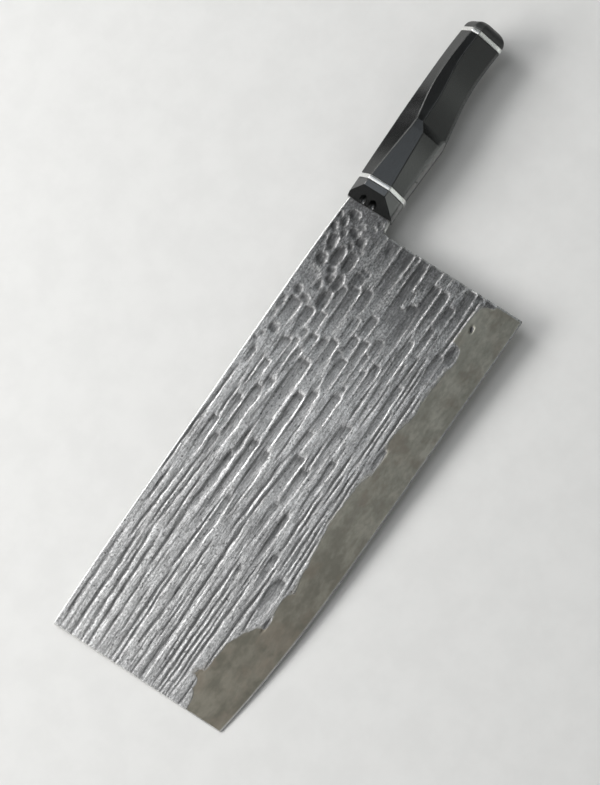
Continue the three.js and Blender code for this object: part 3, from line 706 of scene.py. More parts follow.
# how deep the strokes go at a point, in mm: it looks up the deepest scoop over it
def strokeDepth(tree, take, x, y, side, seed):
    # a hand doesn't strike in straight lines, so the place where it looks sways, more towards the tip
    fineX, fineY = hammering["swayFine"]
    place = joinXyz(tree, times(tree, x, fineX), times(tree, y, fineY))
    sway = splitXyz(tree, seededNoise(tree, seed, hammering["swayNoise"], place)["Color"])
    reach = times(tree, take["Wander"], remap(tree, x, *hammering["swayReach"]))
    swayX = times(tree, minus(tree, sway[0], 0.5), times(tree, reach, hammering["swayLonger"]))
    swayY = times(tree, minus(tree, sway[1], 0.5), reach)
    sheet = times(tree, side, sheetHeight)
    start = joinXyz(tree, plus(tree, x, swayX), plus(tree, y, swayY), minus(tree, sheet, sheetReach))
    ray = addNode(tree, "GeometryNodeRaycast", {
        "Target Geometry": addStrokes(tree, take), "Source Position": start, "Ray Direction": (0, 0, 1),
        "Ray Length": 2 * sheetReach}).outputs
    depth = minus(tree, sheet, splitXyz(tree, ray["Hit Position"])[2])
    return times(tree, depth, ray["Is Hit"], take["Depth"], 1000.0)


# presses the strokes into both faces and grinds the bevel; places are in m, depths and distances in mm
def makeHammerTree():
    tree, take, give = newGroup(
        "hammerFaces", "GeometryNodeTree",
        [("Geometry", "NodeSocketGeometry", None), ("Marks", "NodeSocketObject", None),
         ("Scoops", "NodeSocketCollection", None), ("Depth", number, 1.0), ("Drift Depth", number, 0.0),
         ("Drift Across", number, 1.0), ("Drift Along", number, 1.0), ("Wander", number, 0.0),
         ("Jag", number, 0.0), ("Nibble", number, 0.0), ("Pit Spare", number, 0.0),
         ("Seed", "NodeSocketInt", 0), ("Material", "NodeSocketMaterial", None)],
        [("Geometry", "NodeSocketGeometry")])
    h = hammering
    x, y = splitXyz(tree, addNode(tree, "GeometryNodeInputPosition").outputs[0])[:2]
    side = readPoint(tree, "side")
    seed = timesPlus(tree, side, h["faceSeed"], take["Seed"])
    struck = strokeDepth(tree, take, x, y, side, seed)
    # drawn-out ripple of the forged faces
    place = joinXyz(tree, calc(tree, "DIVIDE", times(tree, x, 1000.0), take["Drift Along"]),
                    calc(tree, "DIVIDE", times(tree, y, 1000.0), take["Drift Across"]))
    ripple = seededNoise(tree, seed, h["driftNoise"], place)[0]
    drift = times(tree, minus(tree, ripple, h["driftMiddle"]), take["Drift Depth"])
    hammer = times(tree, plus(tree, struck, drift), readPoint(tree, "fade"))
    hammer = calc(tree, "MINIMUM", hammer, readPoint(tree, "limit"))
    # the wheel takes the high spots first, so its edge wanders round the deeper strokes
    plane = readPoint(tree, "bevelDrop")
    forged = calc(tree, "MAXIMUM", hammer, plane)
    flat = calc(tree, "MAXIMUM", plane, minus(tree, hammer, take["Pit Spare"]))
    clear = calc(tree, "MINIMUM", minus(tree, plane, hammer), h["jagMost"])
    clear = calc(tree, "MAXIMUM", clear, -h["jagMost"])
    nibble = minus(tree, seededNoise(tree, seed, h["nibbleNoise"])[0], 0.5)
    uneven = timesPlus(tree, nibble, take["Nibble"], times(tree, clear, take["Jag"]))
    leftPit = minus(tree, plus(tree, plane, take["Pit Spare"]), hammer)
    ground = plus(tree, readPoint(tree, "grind"), uneven)
    ground = calc(tree, "MINIMUM", ground, times(tree, leftPit, h["pitSteep"]))
    cut = remap(tree, ground, -h["bevelSoft"], h["bevelSoft"])
    drop = plus(tree, times(tree, flat, cut), times(tree, forged, minus(tree, 1.0, cut)))
    # for the steel's painted light: cavity is how much deeper a point lies than those around it, used for
    # painted shade in the creases; rim marks the lips, used for painted highlights
    around = addNode(tree, "GeometryNodeBlurAttribute", {0: hammer, "Iterations": h["cavitySteps"]},
                     data_type="FLOAT")
    cavity = minus(tree, hammer, around.outputs[0])
    rim = times(tree, remap(tree, struck, *h["rimOuter"]), remap(tree, struck, *h["rimInner"]))
    kept = take["Geometry"]
    for name, value in (("ground", ground), ("cavity", cavity), ("rim", rim), ("depth", hammer)):
        kept = keepPoint(tree, kept, name, value)
    lower = joinXyz(tree, z=times(tree, drop, side, -0.001))
    pressed = addNode(tree, "GeometryNodeSetPosition", {"Geometry": kept, "Offset": lower})
    solid = addNode(tree, "GeometryNodeRealizeInstances", {"Geometry": pressed.outputs[0]})
    finish = addNode(tree, "GeometryNodeSetMaterial",
                     {"Geometry": solid.outputs[0], "Material": take["Material"]})
    tree.links.new(finish.outputs[0], give[0])
    return tree


def setInputs(modifier, tree, values):
    for item in tree.interface.items_tree:
        if item.in_out == "INPUT" and item.name in values:
            modifier[item.identifier] = values[item.name]


def keepResult(source):
    mesh = bpy.data.meshes.new_from_object(source.evaluated_get(bpy.context.evaluated_depsgraph_get()))
    mesh.name = source.name
    source.modifiers.clear()
    source.data = mesh
    return mesh


def topY(x):
    return spineY(x) + cornerCut(blade["tipRound"], blade["tipX"] - x)


# columns of the neck: its lower corner on the face, and where that corner is broken to
def neckColumns():
    b = blade
    pivotX = b["heelX"] - b["neckFillet"]
    columns = []
    for x in (b["neckX"], *b["neckSteps"]):
        low = b["neckLow"] + b["neckFlare"] * x / pivotX
        columns.append((x, low - b["neckBreak"], x, low))
    for i in range(b["filletSteps"]):
        share = i / b["filletSteps"]
        a = math.pi / 2 * share
        inner = b["neckFillet"]
        outer = inner + b["neckBreak"] + (b["heelBreak"] - b["neckBreak"]) * share
        columns.append((pivotX + outer * math.sin(a), neckJointY - outer * math.cos(a),
                        pivotX + inner * math.sin(a), neckJointY - inner * math.cos(a)))
    return columns


# columns from the heel to the tip: closer where the blows are short, and at the tip's broken corner
def bladeColumns(heelIn, endX):
    b = blade
    columns = [heelIn]
    while columns[-1] < endX - b["tipSpare"]:
        longer = min(1, max(0, (columns[-1] - b["stepFrom"]) / b["stepOver"]))
        columns.append(columns[-1] + b["step"] + b["stepMore"] * longer)
    ends = [endX - inward for inward in b["tipSteps"]]
    return np.array(columns + [(columns[-1] + ends[0]) / 2] + ends)


# one face as a flat net, rows from spine to edge: its points, its rim, where the rim's broken corner ends,
# its faces and the line of the neck's front
def makeFaceNet():
    b = blade
    endX, heelIn = b["tipX"] - b["tipBreak"], b["heelX"] + b["heelBreak"]
    upper, lower = b["upperRows"], b["lowerRows"]
    rows = upper + lower
    verts, outer, index = [], {}, {}

    def addUpper(column, x, low):
        narrow = 1 - b["breakLess"] * float(np.clip((x - b["breakFrom"]) / b["breakOver"], 0, 1))
        top = topY(x) + b["spineBreak"] * narrow
        for j in range(upper + 1):
            index[column, j] = len(verts)
            verts.append((x, top + (low - top) * j / upper))
        outer[index[column, 0]] = (x, topY(x))

    neck = neckColumns()
    for i, (x, low, outX, outLow) in enumerate(neck):
        addUpper(i, x, low)
        outer[index[i, upper]] = (outX, outLow)
    first = len(neck)
    columns = bladeColumns(heelIn, endX)
    last = first + len(columns) - 1
    for i, x in enumerate(columns, first):
        addUpper(i, x, neckJointY)
        share = (x - heelIn) / (endX - heelIn)
        edgeX = heelIn + b["heelLean"] + share * (endX - heelIn - b["heelLean"])
        bottom = edgeY(edgeX) - cornerCut(b["tipRound"], b["tipX"] - edgeX)
        bottom -= cornerCut(b["heelRound"], edgeX - b["heelX"] - b["heelLean"])
        for j in range(1, lower + 1):
            t = j / lower
            lean = heelIn + b["heelLean"] * t
            index[i, upper + j] = len(verts)
            y = neckJointY + (bottom - b["edgeBreak"] - neckJointY) * t
            verts.append((lean + share * (endX - lean), y))
        outer[index[i, rows]] = (edgeX, bottom)
    for j in range(rows + 1):
        v = index[last, j]
        outer[v] = (b["tipX"], outer.get(v, verts[v])[1])
    for j in range(upper, rows + 1):
        v = index[first, j]
        x, y = outer.get(v, verts[v])
        outer[v] = (x - b["heelBreak"], y - (b["heelLift"] if j == rows else 0))
    # counter-clockwise seen from the left face, from the neck's spine corner round to its lower corner
    rim = [index[i, 0] for i in range(last + 1)] + [index[last, j] for j in range(1, rows + 1)]
    rim += [index[i, rows] for i in range(last - 1, first - 1, -1)]
    rim += [index[first, j] for j in range(rows - 1, upper - 1, -1)]
    rim += [index[i, upper] for i in range(first - 1, -1, -1)]
    quads = [(index[i, j], index[i + 1, j], index[i + 1, j + 1], index[i, j + 1])
             for i in range(last) for j in range(rows if i >= first else upper)]
    front = [index[0, j] for j in range(upper, -1, -1)]
    return np.array(verts), rim, np.array([outer[v] for v in rim]), quads, front


# closes the two faces round the rim; its broken corners are a little round
def closeFaces(flat, rim, out, quads):
    b = blade
    n, m = len(flat), len(rim)
    faceZ = halfThick(flat[:, 0], flat[:, 1])
    breaks = np.hypot(out[:, 0] - flat[rim, 0], out[:, 1] - flat[rim, 1])
    # next to nothing where the bevel is thin
    breaks *= np.clip((edgeY(out[:, 0]) - out[:, 1]) / b["thinReach"], b["thinBreak"], 1)
    rimZ = halfThick(out[:, 0], out[:, 1]) - np.minimum(breaks, b["neckBreak"])
    rimZ = np.maximum(rimZ, b["leastHalf"])
    ease = flat[rim] + (out - flat[rim]) * b["easeOut"]
    easeZ = faceZ[rim] + (rimZ - faceZ[rim]) * b["easeDown"]
    xy = np.vstack([flat, flat, out, out, ease, ease])
    z = np.concatenate([faceZ, -faceZ, rimZ, -rimZ, easeZ, -easeZ])
    side = np.concatenate([np.ones(n), -np.ones(n)] + [np.ones(m), -np.ones(m)] * 2)
    faces = []
    for quad in quads:
        faces += [quad, tuple(n + v for v in reversed(quad))]
    up, down, upEase, downEase = (range(2 * n + step * m, 2 * n + (step + 1) * m) for step in range(4))
    lines = [rim, upEase, up, down, downEase, [n + v for v in rim]]  # from the left face over to the right
    for k in range(m - 1):
        faces += [(a[k + 1], a[k], c[k], c[k + 1]) for a, c in zip(lines, lines[1:])]
    return [tuple(p) for p in np.column_stack([xy, z])], list(side), faces, lines


# the tang grows out of the loop round the neck's front face
def addTang(points, sides, faces, loop):
    previous = loop
    middleY = tang["spineY"] + tang["wide"] / 2
    for x in (blade["neckX"], *tang["stations"], -tang["length"]):
        halfWide, halfThin = tangHalves(x)
        ring = []
        for v in loop:
            dy, dz = points[v][1] - middleY, points[v][2]
            k = min(halfWide / max(abs(dy), 1e-6), halfThin / max(abs(dz), 1e-6))
            ring.append(len(points))
            points.append((x, tang["spineY"] + halfWide + dy * k, dz * k))
            sides.append(0.0)
        for k in range(len(loop)):
            k2 = (k + 1) % len(loop)
            faces.append((previous[k2], previous[k], ring[k], ring[k2]))
        previous = ring
    faces.append(tuple(reversed(previous)))


# how far each point lies past the start of the bevel, and how far below the face the bevel is there, for the
# left face and for the right one
def bevelValues(x, y):
    line = np.array(groundLine)
    grid = np.arange(*hammering["lineGrid"])
    start, lineFrom = hammering["bevelStart"], otherFace["lineFrom"]
    otherGrid = grid * otherFace["lineStretch"] + otherFace["lineShift"]
    otherGrid = otherGrid % (otherFace["lineTo"] - lineFrom) + lineFrom
    reach = 3 * hammering["lineSmooth"] + 1
    weights = np.exp(-.5 * (np.arange(-reach, reach + 1) / hammering["lineSmooth"]) ** 2)
    deep = halfThick(x, edgeY(x)) - blade["edgeLand"] / 2
    grind, bevel = [], []
    for where in (grid, otherGrid):
        begin = np.interp(where, line[:, 0], line[:, 1])
        even = np.convolve(np.pad(begin, reach, "edge"), weights / weights.sum(), "valid")
        top = np.interp(x, grid, even)
        share = (y - top) / (edgeY(x) - top)
        grind.append(y - np.interp(x, grid, begin))
        bevel.append(start + (deep - start) * share)
    return grind, bevel


# plain closed blade, neck and tang, before the hammer, with what the hammer and the wheel need to know, in mm
def makeBladeBlank():
    flat, rim, out, quads, front = makeFaceNet()
    n, m = len(flat), len(rim)
    points, sides, faces, lines = closeFaces(flat, rim, out, quads)
    corner = [line[0] for line in lines[1:-1]]
    lowCorner = [line[m - 1] for line in reversed(lines[1:-1])]
    addTang(points, sides, faces, front + corner + [n + v for v in reversed(front)] + lowCorner)
    points, sides = np.array(points), np.array(sides)
    x, y = points[:, 0], points[:, 1]
    # rubbed corners and cutting edge
    edge = np.zeros(len(points))
    edge[[v + shift for v in rim for shift in (0, n)]] = 1
    edge[2 * n:2 * n + 4 * m] = 1
    edge = np.maximum(edge, np.clip(1 - (edgeY(x) - y) / blade["edgeRub"], 0, 1) * (sides != 0))
    fade = np.clip(y - spineY(x) - blade["spineBreak"], 0, 1)
    fade = fade * fade * (3 - 2 * fade)
    grind, bevel = bevelValues(x, y)
    mesh = bpy.data.meshes.new("bladeBlank")
    mesh.from_pydata((points / 1000).tolist(), [], faces)
    values = {"side": sides, "fade": fade, "limit": hammering["deepest"] * halfThick(x, y), "edge": edge,
              "bevelDrop": np.where(sides > 0, *bevel), "grind": np.where(sides > 0, *grind)}
    for name, column in values.items():
        mesh.attributes.new(name, "FLOAT", "POINT").data.foreach_set("value", column.astype(np.float32))
    return mesh


def makeBlade():
    scoops, marks = makeScoops(), makeMarks()
    piece = bpy.data.objects.new("hammeredBlade", makeBladeBlank())
    scene.collection.objects.link(piece)
    tree = makeHammerTree()
    modifier = piece.modifiers.new("hammer", "NODES")
    modifier.node_group = tree
    h = hammering
    setInputs(modifier, tree, {
        "Marks": marks, "Scoops": scoops, "Depth": h["depth"], "Drift Depth": h["driftDepth"],
        "Drift Across": h["driftAcross"], "Drift Along": h["driftAlong"], "Wander": h["wander"],
        "Jag": h["jag"], "Nibble": h["nibble"], "Pit Spare": h["pitSpare"], "Seed": h["seed"],
        "Material": steel})
    mesh = keepResult(piece)
    for name in ("side", "fade", "limit", "bevelDrop", "grind"):
        mesh.attributes.remove(mesh.attributes[name])
    mesh.transform(layDown)
    mesh.shade_smooth()
    mesh.set_sharp_from_angle(angle=math.radians(blade["sharpAngle"]))
    for tool in list(scoops.objects) + [marks]:
        bpy.data.objects.remove(tool)
    bpy.data.collections.remove(scoops)
    return piece


bladePiece = makeBlade()
print("blade:", len(bladePiece.data.polygons), "faces")


# handle

handle = {
    # x of the front and back of each piece
    "bolster": (0.0, -9.3), "frontSpacer": (-9.45, -11.55), "grip": (-11.7, -92.1),
    "rearSpacer": (-92.25, -94.35), "pommel": (-94.5, -100.5),
    # radii of the corners, and how they run into the facets
    "ridgeRound": 0.35, "bellyRound": 1.9, "rearBellyRound": 0.6,
    "roundMost": 0.36, "flatFrom": 0.45,  # shares of a facet's width
    "besideRidge": 0.25, "besideBelly": 1.6, "wideRound": 1,  # from a rounding to the flat, by its radius
    # how rubbed the four corners are, with a painted highlight on them, and from one side of a corner to the
    # other
    "wearAndHighlight": (.35, .35, .35, .35), "wearAndHighlightAcross": (0, .4, 1, 1, 1, .4, 0),
    "tangSpare": 0.3, "sharpAngle": 30, "softAngle": 40,
}
# y and z of the four corners of the upper half: spine side, top ridge towards the spine, top ridge towards
# the belly, belly side
frontCorners = ((.3, 4.7), (5.1, 9.8), (15.9, 9.8), (23.3, 2.8))
gripStations = [  # share of the grip's length, then the four corners
    (0, (0, 4.6), (5.1, 9.7), (15.85, 9.7), (22.9, 2.8)),
    (.18, (-.3, 4.4), (6.2, 9.6), (14.8, 9.65), (23.3, 2.7)),
    (.355, (-.5, 4.1), (7.5, 9.45), (13.8, 9.5), (23.8, 2.5)),
    (.41, (-.6, 4.0), (7.6, 9.3), (10.9, 9.4), (23.1, 2.3)),
    (.45, (-.6, 3.9), (6.95, 8.85), (10.9, 9.1), (22.6, 2.2)),
    (.525, (-.7, 3.6), (5.7, 8.5), (10.8, 8.95), (21.5, 2.1)),
    (.63, (-.7, 3.3), (4.1, 8.1), (10.4, 8.8), (20.0, 1.8)),
    (.745, (-.6, 3.0), (4.0, 8.0), (8.7, 8.6), (19.2, 1.6)),
    (.85, (-.6, 2.5), (4.0, 8.0), (8.0, 8.5), (19.1, 1.4)),
    (1, (0, 1.9), (5.2, 8.1), (8.9, 8.3), (19.9, 1.3)),
]
grip = {
    "creaseShares": (.355, .41), "creaseSpans": ((13, 30), (6, 11)), "soften": 0.08, "boreSpare": 1.8,
    "frontSteps": [0, .0015, .004, .06, .12, .18, .24, .3, .345, .352, .355, .358, .37, .39, .404, .41, .416],
    "rearFrom": .43, "rearSteps": 30, "endSteps": [.996, .9985, 1], "endShrink": .988,
    # rubbed corners with painted highlights, strongest on the front belly corner
    "wearAndHighlightChange": .4, "frontWearAndHighlight": (.12, .4, .08, 1.1), "rearWearAndHighlight": (.12, .28, .12, .12),
}


# behind the crease the facets bend softly from one station to the next
def gripCorners(share):
    shares = [s[0] for s in gripStations]
    soft = max(0, min(grip["soften"], share - grip["creaseShares"][1], 1 - share))
    spread = share + np.linspace(-soft, soft, 9)
    return [tuple(np.interp(spread, shares, [s[k][axis] for s in gripStations]).mean() for axis in (0, 1))
            for k in range(1, 5)]


# one ring round the handle: every corner rounded, with close points beside it so the facets stay flat
def sectionRing(x, corners, grow=0.0, shrink=1.0, belly=handle["bellyRound"], wearAndHighlight=handle["wearAndHighlight"]):
    (y0, z0), (y1, z1), (y2, z2), (y3, z3) = corners
    upper = [(y0 - grow, z0), (y1, z1 + grow), (y2, z2 + grow), (y3 + grow, z3)]
    around = upper + [(y, -z) for y, z in reversed(upper)]
    rounds = [handle["ridgeRound"]] * 3 + [belly] * 2 + [handle["ridgeRound"]] * 3
    rubsAndHighlights = wearAndHighlight + wearAndHighlight[::-1]
    middle = (upper[0][0] + upper[3][0]) / 2
    ring, edge = [], []
    for k, corner in enumerate(around):
        here = Vector(corner)
        before, after = Vector(around[k - 1]) - here, Vector(around[(k + 1) % 8]) - here
        beside = handle["besideRidge"] if rounds[k] < handle["wideRound"] else handle["besideBelly"]
        starts, flats = [], []
        for way in (before, after):
            reach = min(rounds[k], way.length * handle["roundMost"])
            starts.append(here + way.normalized() * reach)
            flats.append(here + way.normalized() * min(reach + beside, way.length * handle["flatFrom"]))
        a, c = starts
        points = [(1 - t) ** 2 * a + 2 * t * (1 - t) * here + t * t * c for t in (0, .25, .5, .75, 1)]
        for p in [flats[0], *points, flats[1]]:
            ring.append((x, middle + (p.x - middle) * shrink, p.y * shrink))
        edge += [part * rubsAndHighlights[k] for part in handle["wearAndHighlightAcross"]]
    return ring, edge


# skin over the rings, closed at both ends, in mm
def makeSkin(name, rings):
    count = len(rings[0][0])
    verts = [p for ring, edge in rings for p in ring]
    edges = [e for ring, edge in rings for e in edge]
    faces = []
    for start in range(0, (len(rings) - 1) * count, count):
        for k in range(count):
            k2 = (k + 1) % count
            faces.append((start + k, start + k2, start + count + k2, start + count + k))
    faces += [tuple(range(count)), tuple(range((len(rings) - 1) * count, len(rings) * count))]
    mesh = bpy.data.meshes.new(name)
    mesh.from_pydata(verts, [], faces)
    mesh.attributes.new("edge", "FLOAT", "POINT").data.foreach_set("value", edges)
    shape = bmesh.new()
    shape.from_mesh(mesh)
    bmesh.ops.recalc_face_normals(shape, faces=shape.faces)
    shape.to_mesh(mesh)
    shape.free()
    piece = bpy.data.objects.new(name, mesh)
    scene.collection.objects.link(piece)
    return piece


# waste to cut away, in mm

boxFaces = [(0, 1, 2, 3), (7, 6, 5, 4), (0, 4, 5, 1), (1, 5, 6, 2), (2, 6, 7, 3), (3, 7, 4, 0)]
dowels = {"front": ((3.05, 20.55), -5.55, -19.85), "rear": ((5.2, 12.8), -83.95, -98.25), "radius": 1.4}


def addWaste(waste, verts, faces):
    made = [waste.verts.new(v) for v in verts]
    for face in faces:
        waste.faces.new([made[v] for v in face])


def addRodWaste(waste, fromX, toX, y, z, radius, sides=32):
    turns = [2 * math.pi * i / sides for i in range(sides)]
    verts = [(x, y + math.cos(a) * radius, z + math.sin(a) * radius) for x in (fromX, toX) for a in turns]
    faces = [tuple(range(sides)), tuple(range(2 * sides - 1, sides - 1, -1))]
    faces += [(i, i + sides, (i + 1) % sides + sides, (i + 1) % sides) for i in range(sides)]
    addWaste(waste, verts, faces)


def dowelWaste(where):
    waste = bmesh.new()
    ys, fromX, toX = dowels[where]
    for y in ys:
        addRodWaste(waste, fromX, toX, y, 0, dowels["radius"])
    return waste


def tangWaste(spare):
    waste = bmesh.new()
    verts = []
    for x in (blade["heelX"], -tang["length"] - spare):
        halfWide, halfThin = tangHalves(x)
        low, high = tang["spineY"] - spare, tang["spineY"] + 2 * halfWide + spare
        half = halfThin + spare
        verts += [(x, low, -half), (x, high, -half), (x, high, half), (x, low, half)]
    addWaste(waste, verts, boxFaces)
    return waste


def cutAway(piece, wastes):
    for waste in wastes:
        bmesh.ops.recalc_face_normals(waste, faces=waste.faces)
        mesh = bpy.data.meshes.new("waste")
        waste.to_mesh(mesh)
        waste.free()
        cutter = bpy.data.objects.new("waste", mesh)
        scene.collection.objects.link(cutter)
        modifier = piece.modifiers.new("cut", "BOOLEAN")
        modifier.object, modifier.operation, modifier.solver = cutter, "DIFFERENCE", "EXACT"
        keepResult(piece)
        bpy.data.objects.remove(cutter)


def finishPiece(piece, material, sharp=handle["sharpAngle"], creases=()):
    mesh = piece.data
    mesh.shade_smooth()
    mesh.set_sharp_from_angle(angle=math.radians(sharp))
    for edge in mesh.edges if creases else ():  # crisp lines across the handle
        a, c = (mesh.vertices[v].co for v in edge.vertices)
        for x, low, high in creases:
            if max(abs(a.x - x), abs(c.x - x)) < .01 and low < (a.y + c.y) / 2 < high:
                edge.use_edge_sharp = True
    mesh.transform(toFrame)
    mesh.materials.clear()
    mesh.materials.append(material)
    return piece


bolster = {
    "snoutHalf": 2.5, "snoutSlope": 1.18, "backBreak": (.12, .1), "edgeBreak": 0.22, "edgeAngle": 32,
    "holeRadius": 1.8, "holeDepth": 5.6, "holeY": 10.0, "holePitch": 4.8, "holeGap": 0.1, "holeSides": 40,
    # rubbed corners with a painted highlight, full on the belly corner
    "wearAndHighlight": (.3, .3, .3, 1),
}


# what lies outside the sloped shoulders
def slopeWaste():
    waste = bmesh.new()
    ahead, behind, outside, spineEnd, bellyEnd = 2, -14, 40, -20, 60
    for side in (1, -1):
        near, far = (side * (bolster["snoutHalf"] - bolster["snoutSlope"] * x) for x in (ahead, behind))
        outline = ((ahead, near), (ahead, side * outside), (behind, side * outside), (behind, far))
        addWaste(waste, [(x, y, z) for y in (spineEnd, bellyEnd) for x, z in outline], boxFaces)
    return waste


def holeWaste():
    waste = bmesh.new()
    for side in (1, -1):
        for step in (-.5, .5):
            y = bolster["holeY"] + step * bolster["holePitch"]
            z = side * (bolster["snoutHalf"] + bolster["holeGap"] + bolster["holeRadius"])
            addRodWaste(waste, 2, -bolster["holeDepth"], y, z, bolster["holeRadius"], bolster["holeSides"])
    return waste


def makeBolster():
    front, back = handle["bolster"]
    inward, low = bolster["backBreak"]
    piece = makeSkin("slopedBolster", [sectionRing(x, frontCorners, grow, wearAndHighlight=bolster["wearAndHighlight"])
                                       for x, grow in ((front, 0), (back + inward, 0), (back, -low))])
    cutAway(piece, [slopeWaste(), holeWaste(), tangWaste(handle["tangSpare"]), dowelWaste("front")])
    bevel = piece.modifiers.new("break", "BEVEL")
    bevel.width, bevel.segments = bolster["edgeBreak"], 2
    bevel.limit_method, bevel.angle_limit = "ANGLE", math.radians(bolster["edgeAngle"])
    keepResult(piece)
    finishPiece(piece, bolsterWood)
    even = piece.modifiers.new("even", "WEIGHTED_NORMAL")  # flat facets stay flat up to their broken edges
    even.weight, even.keep_sharp = 100, True
    keepResult(piece)
    return piece


spacer = {"proud": 0.15, "corner": ((0, .14), (.05, .04), (.14, 0))}  # corner: how far in, how much lower


def makeSpacer(name, span, corners, wastes):
    start, end = span
    places = [(start - inward, low) for inward, low in spacer["corner"]]
    places += [(end + inward, low) for inward, low in reversed(spacer["corner"])]
    piece = makeSkin(name, [sectionRing(x, corners, spacer["proud"] - low) for x, low in places])
    cutAway(piece, wastes)
    return finishPiece(piece, spacerMetal)


def makeGrip():
    start, end = handle["grip"]
    rearFrom, count = grip["rearFrom"], grip["rearSteps"]
    rear = [rearFrom + (1 - rearFrom) * i / count for i in range(count)]
    rings = []
    for share in grip["frontSteps"] + rear + grip["endSteps"]:
        shrink = grip["endShrink"] if share in (0, 1) else 1.0
        belly = np.interp(share, grip["creaseShares"], (handle["bellyRound"], handle["rearBellyRound"]))
        wearAndHighlight = grip["frontWearAndHighlight"] if share < grip["wearAndHighlightChange"] else grip["rearWearAndHighlight"]
        rings.append(sectionRing(start + (end - start) * share, gripCorners(share), 0, shrink, belly, wearAndHighlight))
    piece = makeSkin("facetedGrip", rings)
    cutAway(piece, [tangWaste(grip["boreSpare"]), dowelWaste("front"), dowelWaste("rear")])
    creases = [(start + (end - start) * share, *span)
               for share, span in zip(grip["creaseShares"], grip["creaseSpans"])]
    return finishPiece(piece, blackWood, handle["softAngle"], creases)


pommel = {
    "dome": 0.95, "domePower": 2.6, "frontShrink": .985,
    "steps": (0, .03, .15, .3, .45, .58, .7, .8, .88, .94, .98, 1),
}


def makePommel():
    start, end = handle["pommel"]
    rings = []
    for step in pommel["steps"]:
        shrink = math.sqrt(1 - (pommel["dome"] * step) ** pommel["domePower"])
        if step == 0:
            shrink = pommel["frontShrink"]
        x = start + (end - start) * step
        rings.append(sectionRing(x, gripCorners(1), 0, shrink, handle["rearBellyRound"]))
    piece = makeSkin("endCap", rings)
    cutAway(piece, [dowelWaste("rear")])
    return finishPiece(piece, capWood, handle["softAngle"])


bolsterPiece = makeBolster()
frontSpacer = makeSpacer("frontSpacerPlate", handle["frontSpacer"], frontCorners,
                         [tangWaste(handle["tangSpare"]), dowelWaste("front")])
gripPiece = makeGrip()
rearSpacer = makeSpacer("rearSpacerPlate", handle["rearSpacer"], gripCorners(1), [dowelWaste("rear")])
endCap = makePommel()
print("handle ready")

for piece, node, slot in ((bladePiece, "blade", "blade_steel"), (bolsterPiece, "bolster", "black_wood"),
                          (frontSpacer, "front_spacer", "spacer_metal"), (gripPiece, "grip", "black_wood"),
                          (rearSpacer, "rear_spacer", "spacer_metal"), (endCap, "pommel", "black_wood")):
    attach(piece, "root")
    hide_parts(node)

# hidden pieces keep their CAD shape
hiddenLooks = {"tang_bedding": makeHidden(resinLook)}
dowelSteel = makeHidden(dowelLook)
for node in ("front_dowel_spine", "front_dowel_belly", "rear_dowel_spine", "rear_dowel_belly"):
    hiddenLooks[node] = dowelSteel
for node, material in hiddenLooks.items():
    mesh = frame["nodes"][node].data
    mesh.materials.clear()
    mesh.materials.append(material)


# floor, light and camera

stage = {
    "floor": (0.78, 0.78, 0.77, 1), "floorFleck": (0.75, 0.75, 0.74, 1), "fleckGrain": (60, 1, 0.3, 0.7),
    "floorRoughness": 0.8, "floorHalf": 4.0, "lightsAim": (70, 40, 0),
    "sky": (0.95, 0.97, 1.0, 1), "skyStrength": 0.05,
}


def makeFloor():
    material, tree, surface, spot = newMaterial("paleFloor")
    fleck = addGrain(tree, spot, stage["fleckGrain"])["Mask"]
    tree.links.new(blendColor(tree, fleck, stage["floor"], stage["floorFleck"]), surface["Base Color"])
    surface["Roughness"].default_value = stage["floorRoughness"]
    half = stage["floorHalf"]
    mesh = bpy.data.meshes.new("floor")
    corners = [(-half, -half, 0), (half, -half, 0), (half, half, 0), (-half, half, 0)]
    mesh.from_pydata(corners, [], [(0, 1, 2, 3)])
    mesh.materials.append(material)
    floor = bpy.data.objects.new("floor", mesh)
    scene.collection.objects.link(floor)


view = {
    "target": (85.8, 32.1, 0), "distance": 1508, "turn": 40.18, "rise": 74.1, "roll": -6.87,
    "lens": 160, "sensor": 36, "farEnd": 20,
}


def makeCamera():
    turn, rise, roll = (math.radians(view[k]) for k in ("turn", "rise", "roll"))
    back = Vector((math.cos(rise) * math.cos(turn), math.cos(rise) * math.sin(turn), math.sin(rise)))
    across = Vector((-math.sin(turn), math.cos(turn), 0))
    over = back.cross(across)
    right = math.cos(roll) * across + math.sin(roll) * over
    up = math.cos(roll) * over - math.sin(roll) * across
    spot = (Vector(view["target"]) + back * view["distance"]) / 1000
    pose = Matrix.Identity(4)
    for column, axis in enumerate((right, up, back)):
        pose.col[column] = (*axis, 0)
    pose.col[3] = (*spot, 1)
    data = bpy.data.cameras.new("camera")
    data.lens, data.sensor_width, data.clip_end = view["lens"], view["sensor"], view["farEnd"]
    camera = bpy.data.objects.new("camera", data)
    camera.matrix_world = layDown @ pose
    scene.collection.objects.link(camera)
    scene.camera = camera
    return right


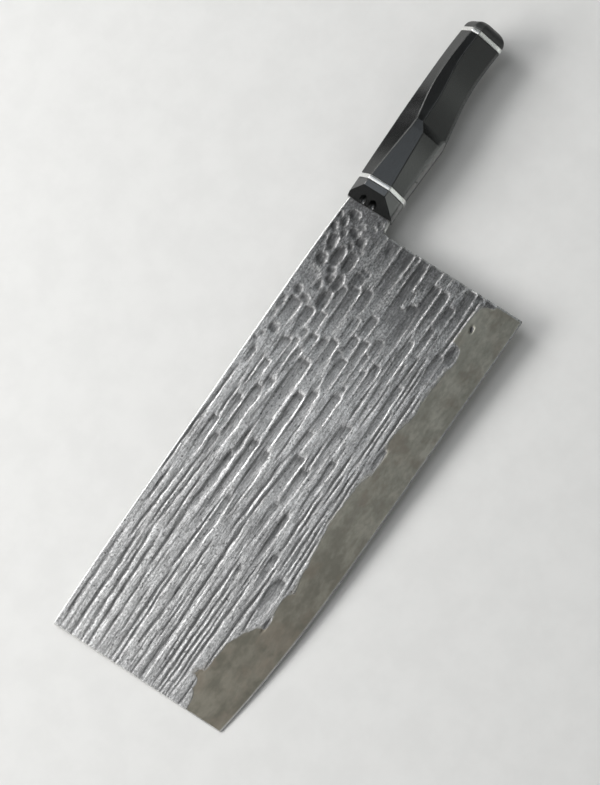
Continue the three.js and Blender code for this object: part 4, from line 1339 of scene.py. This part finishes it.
# how far to the image's right, up and off the table, in m, then width and height, power and colour
lights = {
    "keyLight": ((-1.15, -0.1, 0.6), (1.0, 0.5), 16, (1, 0.99, 0.97)),
    "skyPanel": ((-0.72, 0.05, 1.2), (1.0, 1.3), 5.8, (1, 1, 1)),
    "rimPanel": ((-0.80, 0.75, 0.75), (0.5, 0.8), 6.2, (1, 1, 1)),
    "fillLight": ((0.2, -1.1, 0.9), (1.2, 0.8), 2.5, (1, 1, 1)),
    "softCard": ((0.75, -0.3, 1.1), (0.8, 0.8), 0.25, (1, 1, 1)),
    "farLight": ((0.06, 0.45, 1.2), (0.34, 0.24), 0.31, (0.85, 0.93, 1)),
    "frontCard": ((1.05, -0.24, 0.32), (0.75, 0.34), 0.8, (0.95, 1, 0.95)),
    "rearCard": ((0.99, 0.0, 0.58), (0.85, 0.36), 0.385, (0.95, 1, 0.95)),
    "backCard": ((0.34, 0.87, 0.63), (0.4, 0.3), 0.3, (0.95, 1, 0.97)),
}


def makeLights(right):
    flatRight = ((layDown.to_3x3() @ right) * Vector((1, 1, 0))).normalized()
    flatUp = Vector((0, 0, 1)).cross(flatRight)
    middle = layDown @ (Vector(stage["lightsAim"]) / 1000)
    for name, ((r, u, h), size, power, color) in lights.items():
        data = bpy.data.lights.new(name, "AREA")
        data.shape, data.energy, data.color = "RECTANGLE", power, color
        data.size, data.size_y = size
        lamp = bpy.data.objects.new(name, data)
        lamp.visible_glossy = name != "keyLight"  # it lights the table, the panels light the steel
        spot = middle + flatRight * r + flatUp * u + Vector((0, 0, h))
        away = (spot - middle).normalized()
        level = Vector((0, 0, 1)).cross(away).normalized()
        pose = Matrix((level, away.cross(level), away)).transposed().to_4x4()
        lamp.matrix_world = Matrix.Translation(spot) @ pose
        scene.collection.objects.link(lamp)


def makeSky():
    scene.world = scene.world or bpy.data.worlds.new("studio")
    scene.world.use_nodes = True
    sky = [n for n in scene.world.node_tree.nodes if n.type == "BACKGROUND"][0]
    sky.inputs["Color"].default_value = stage["sky"]
    sky.inputs["Strength"].default_value = stage["skyStrength"]
    scene.view_settings.view_transform = "Standard"


makeFloor()
makeLights(makeCamera())
makeSky()
print("stage ready")
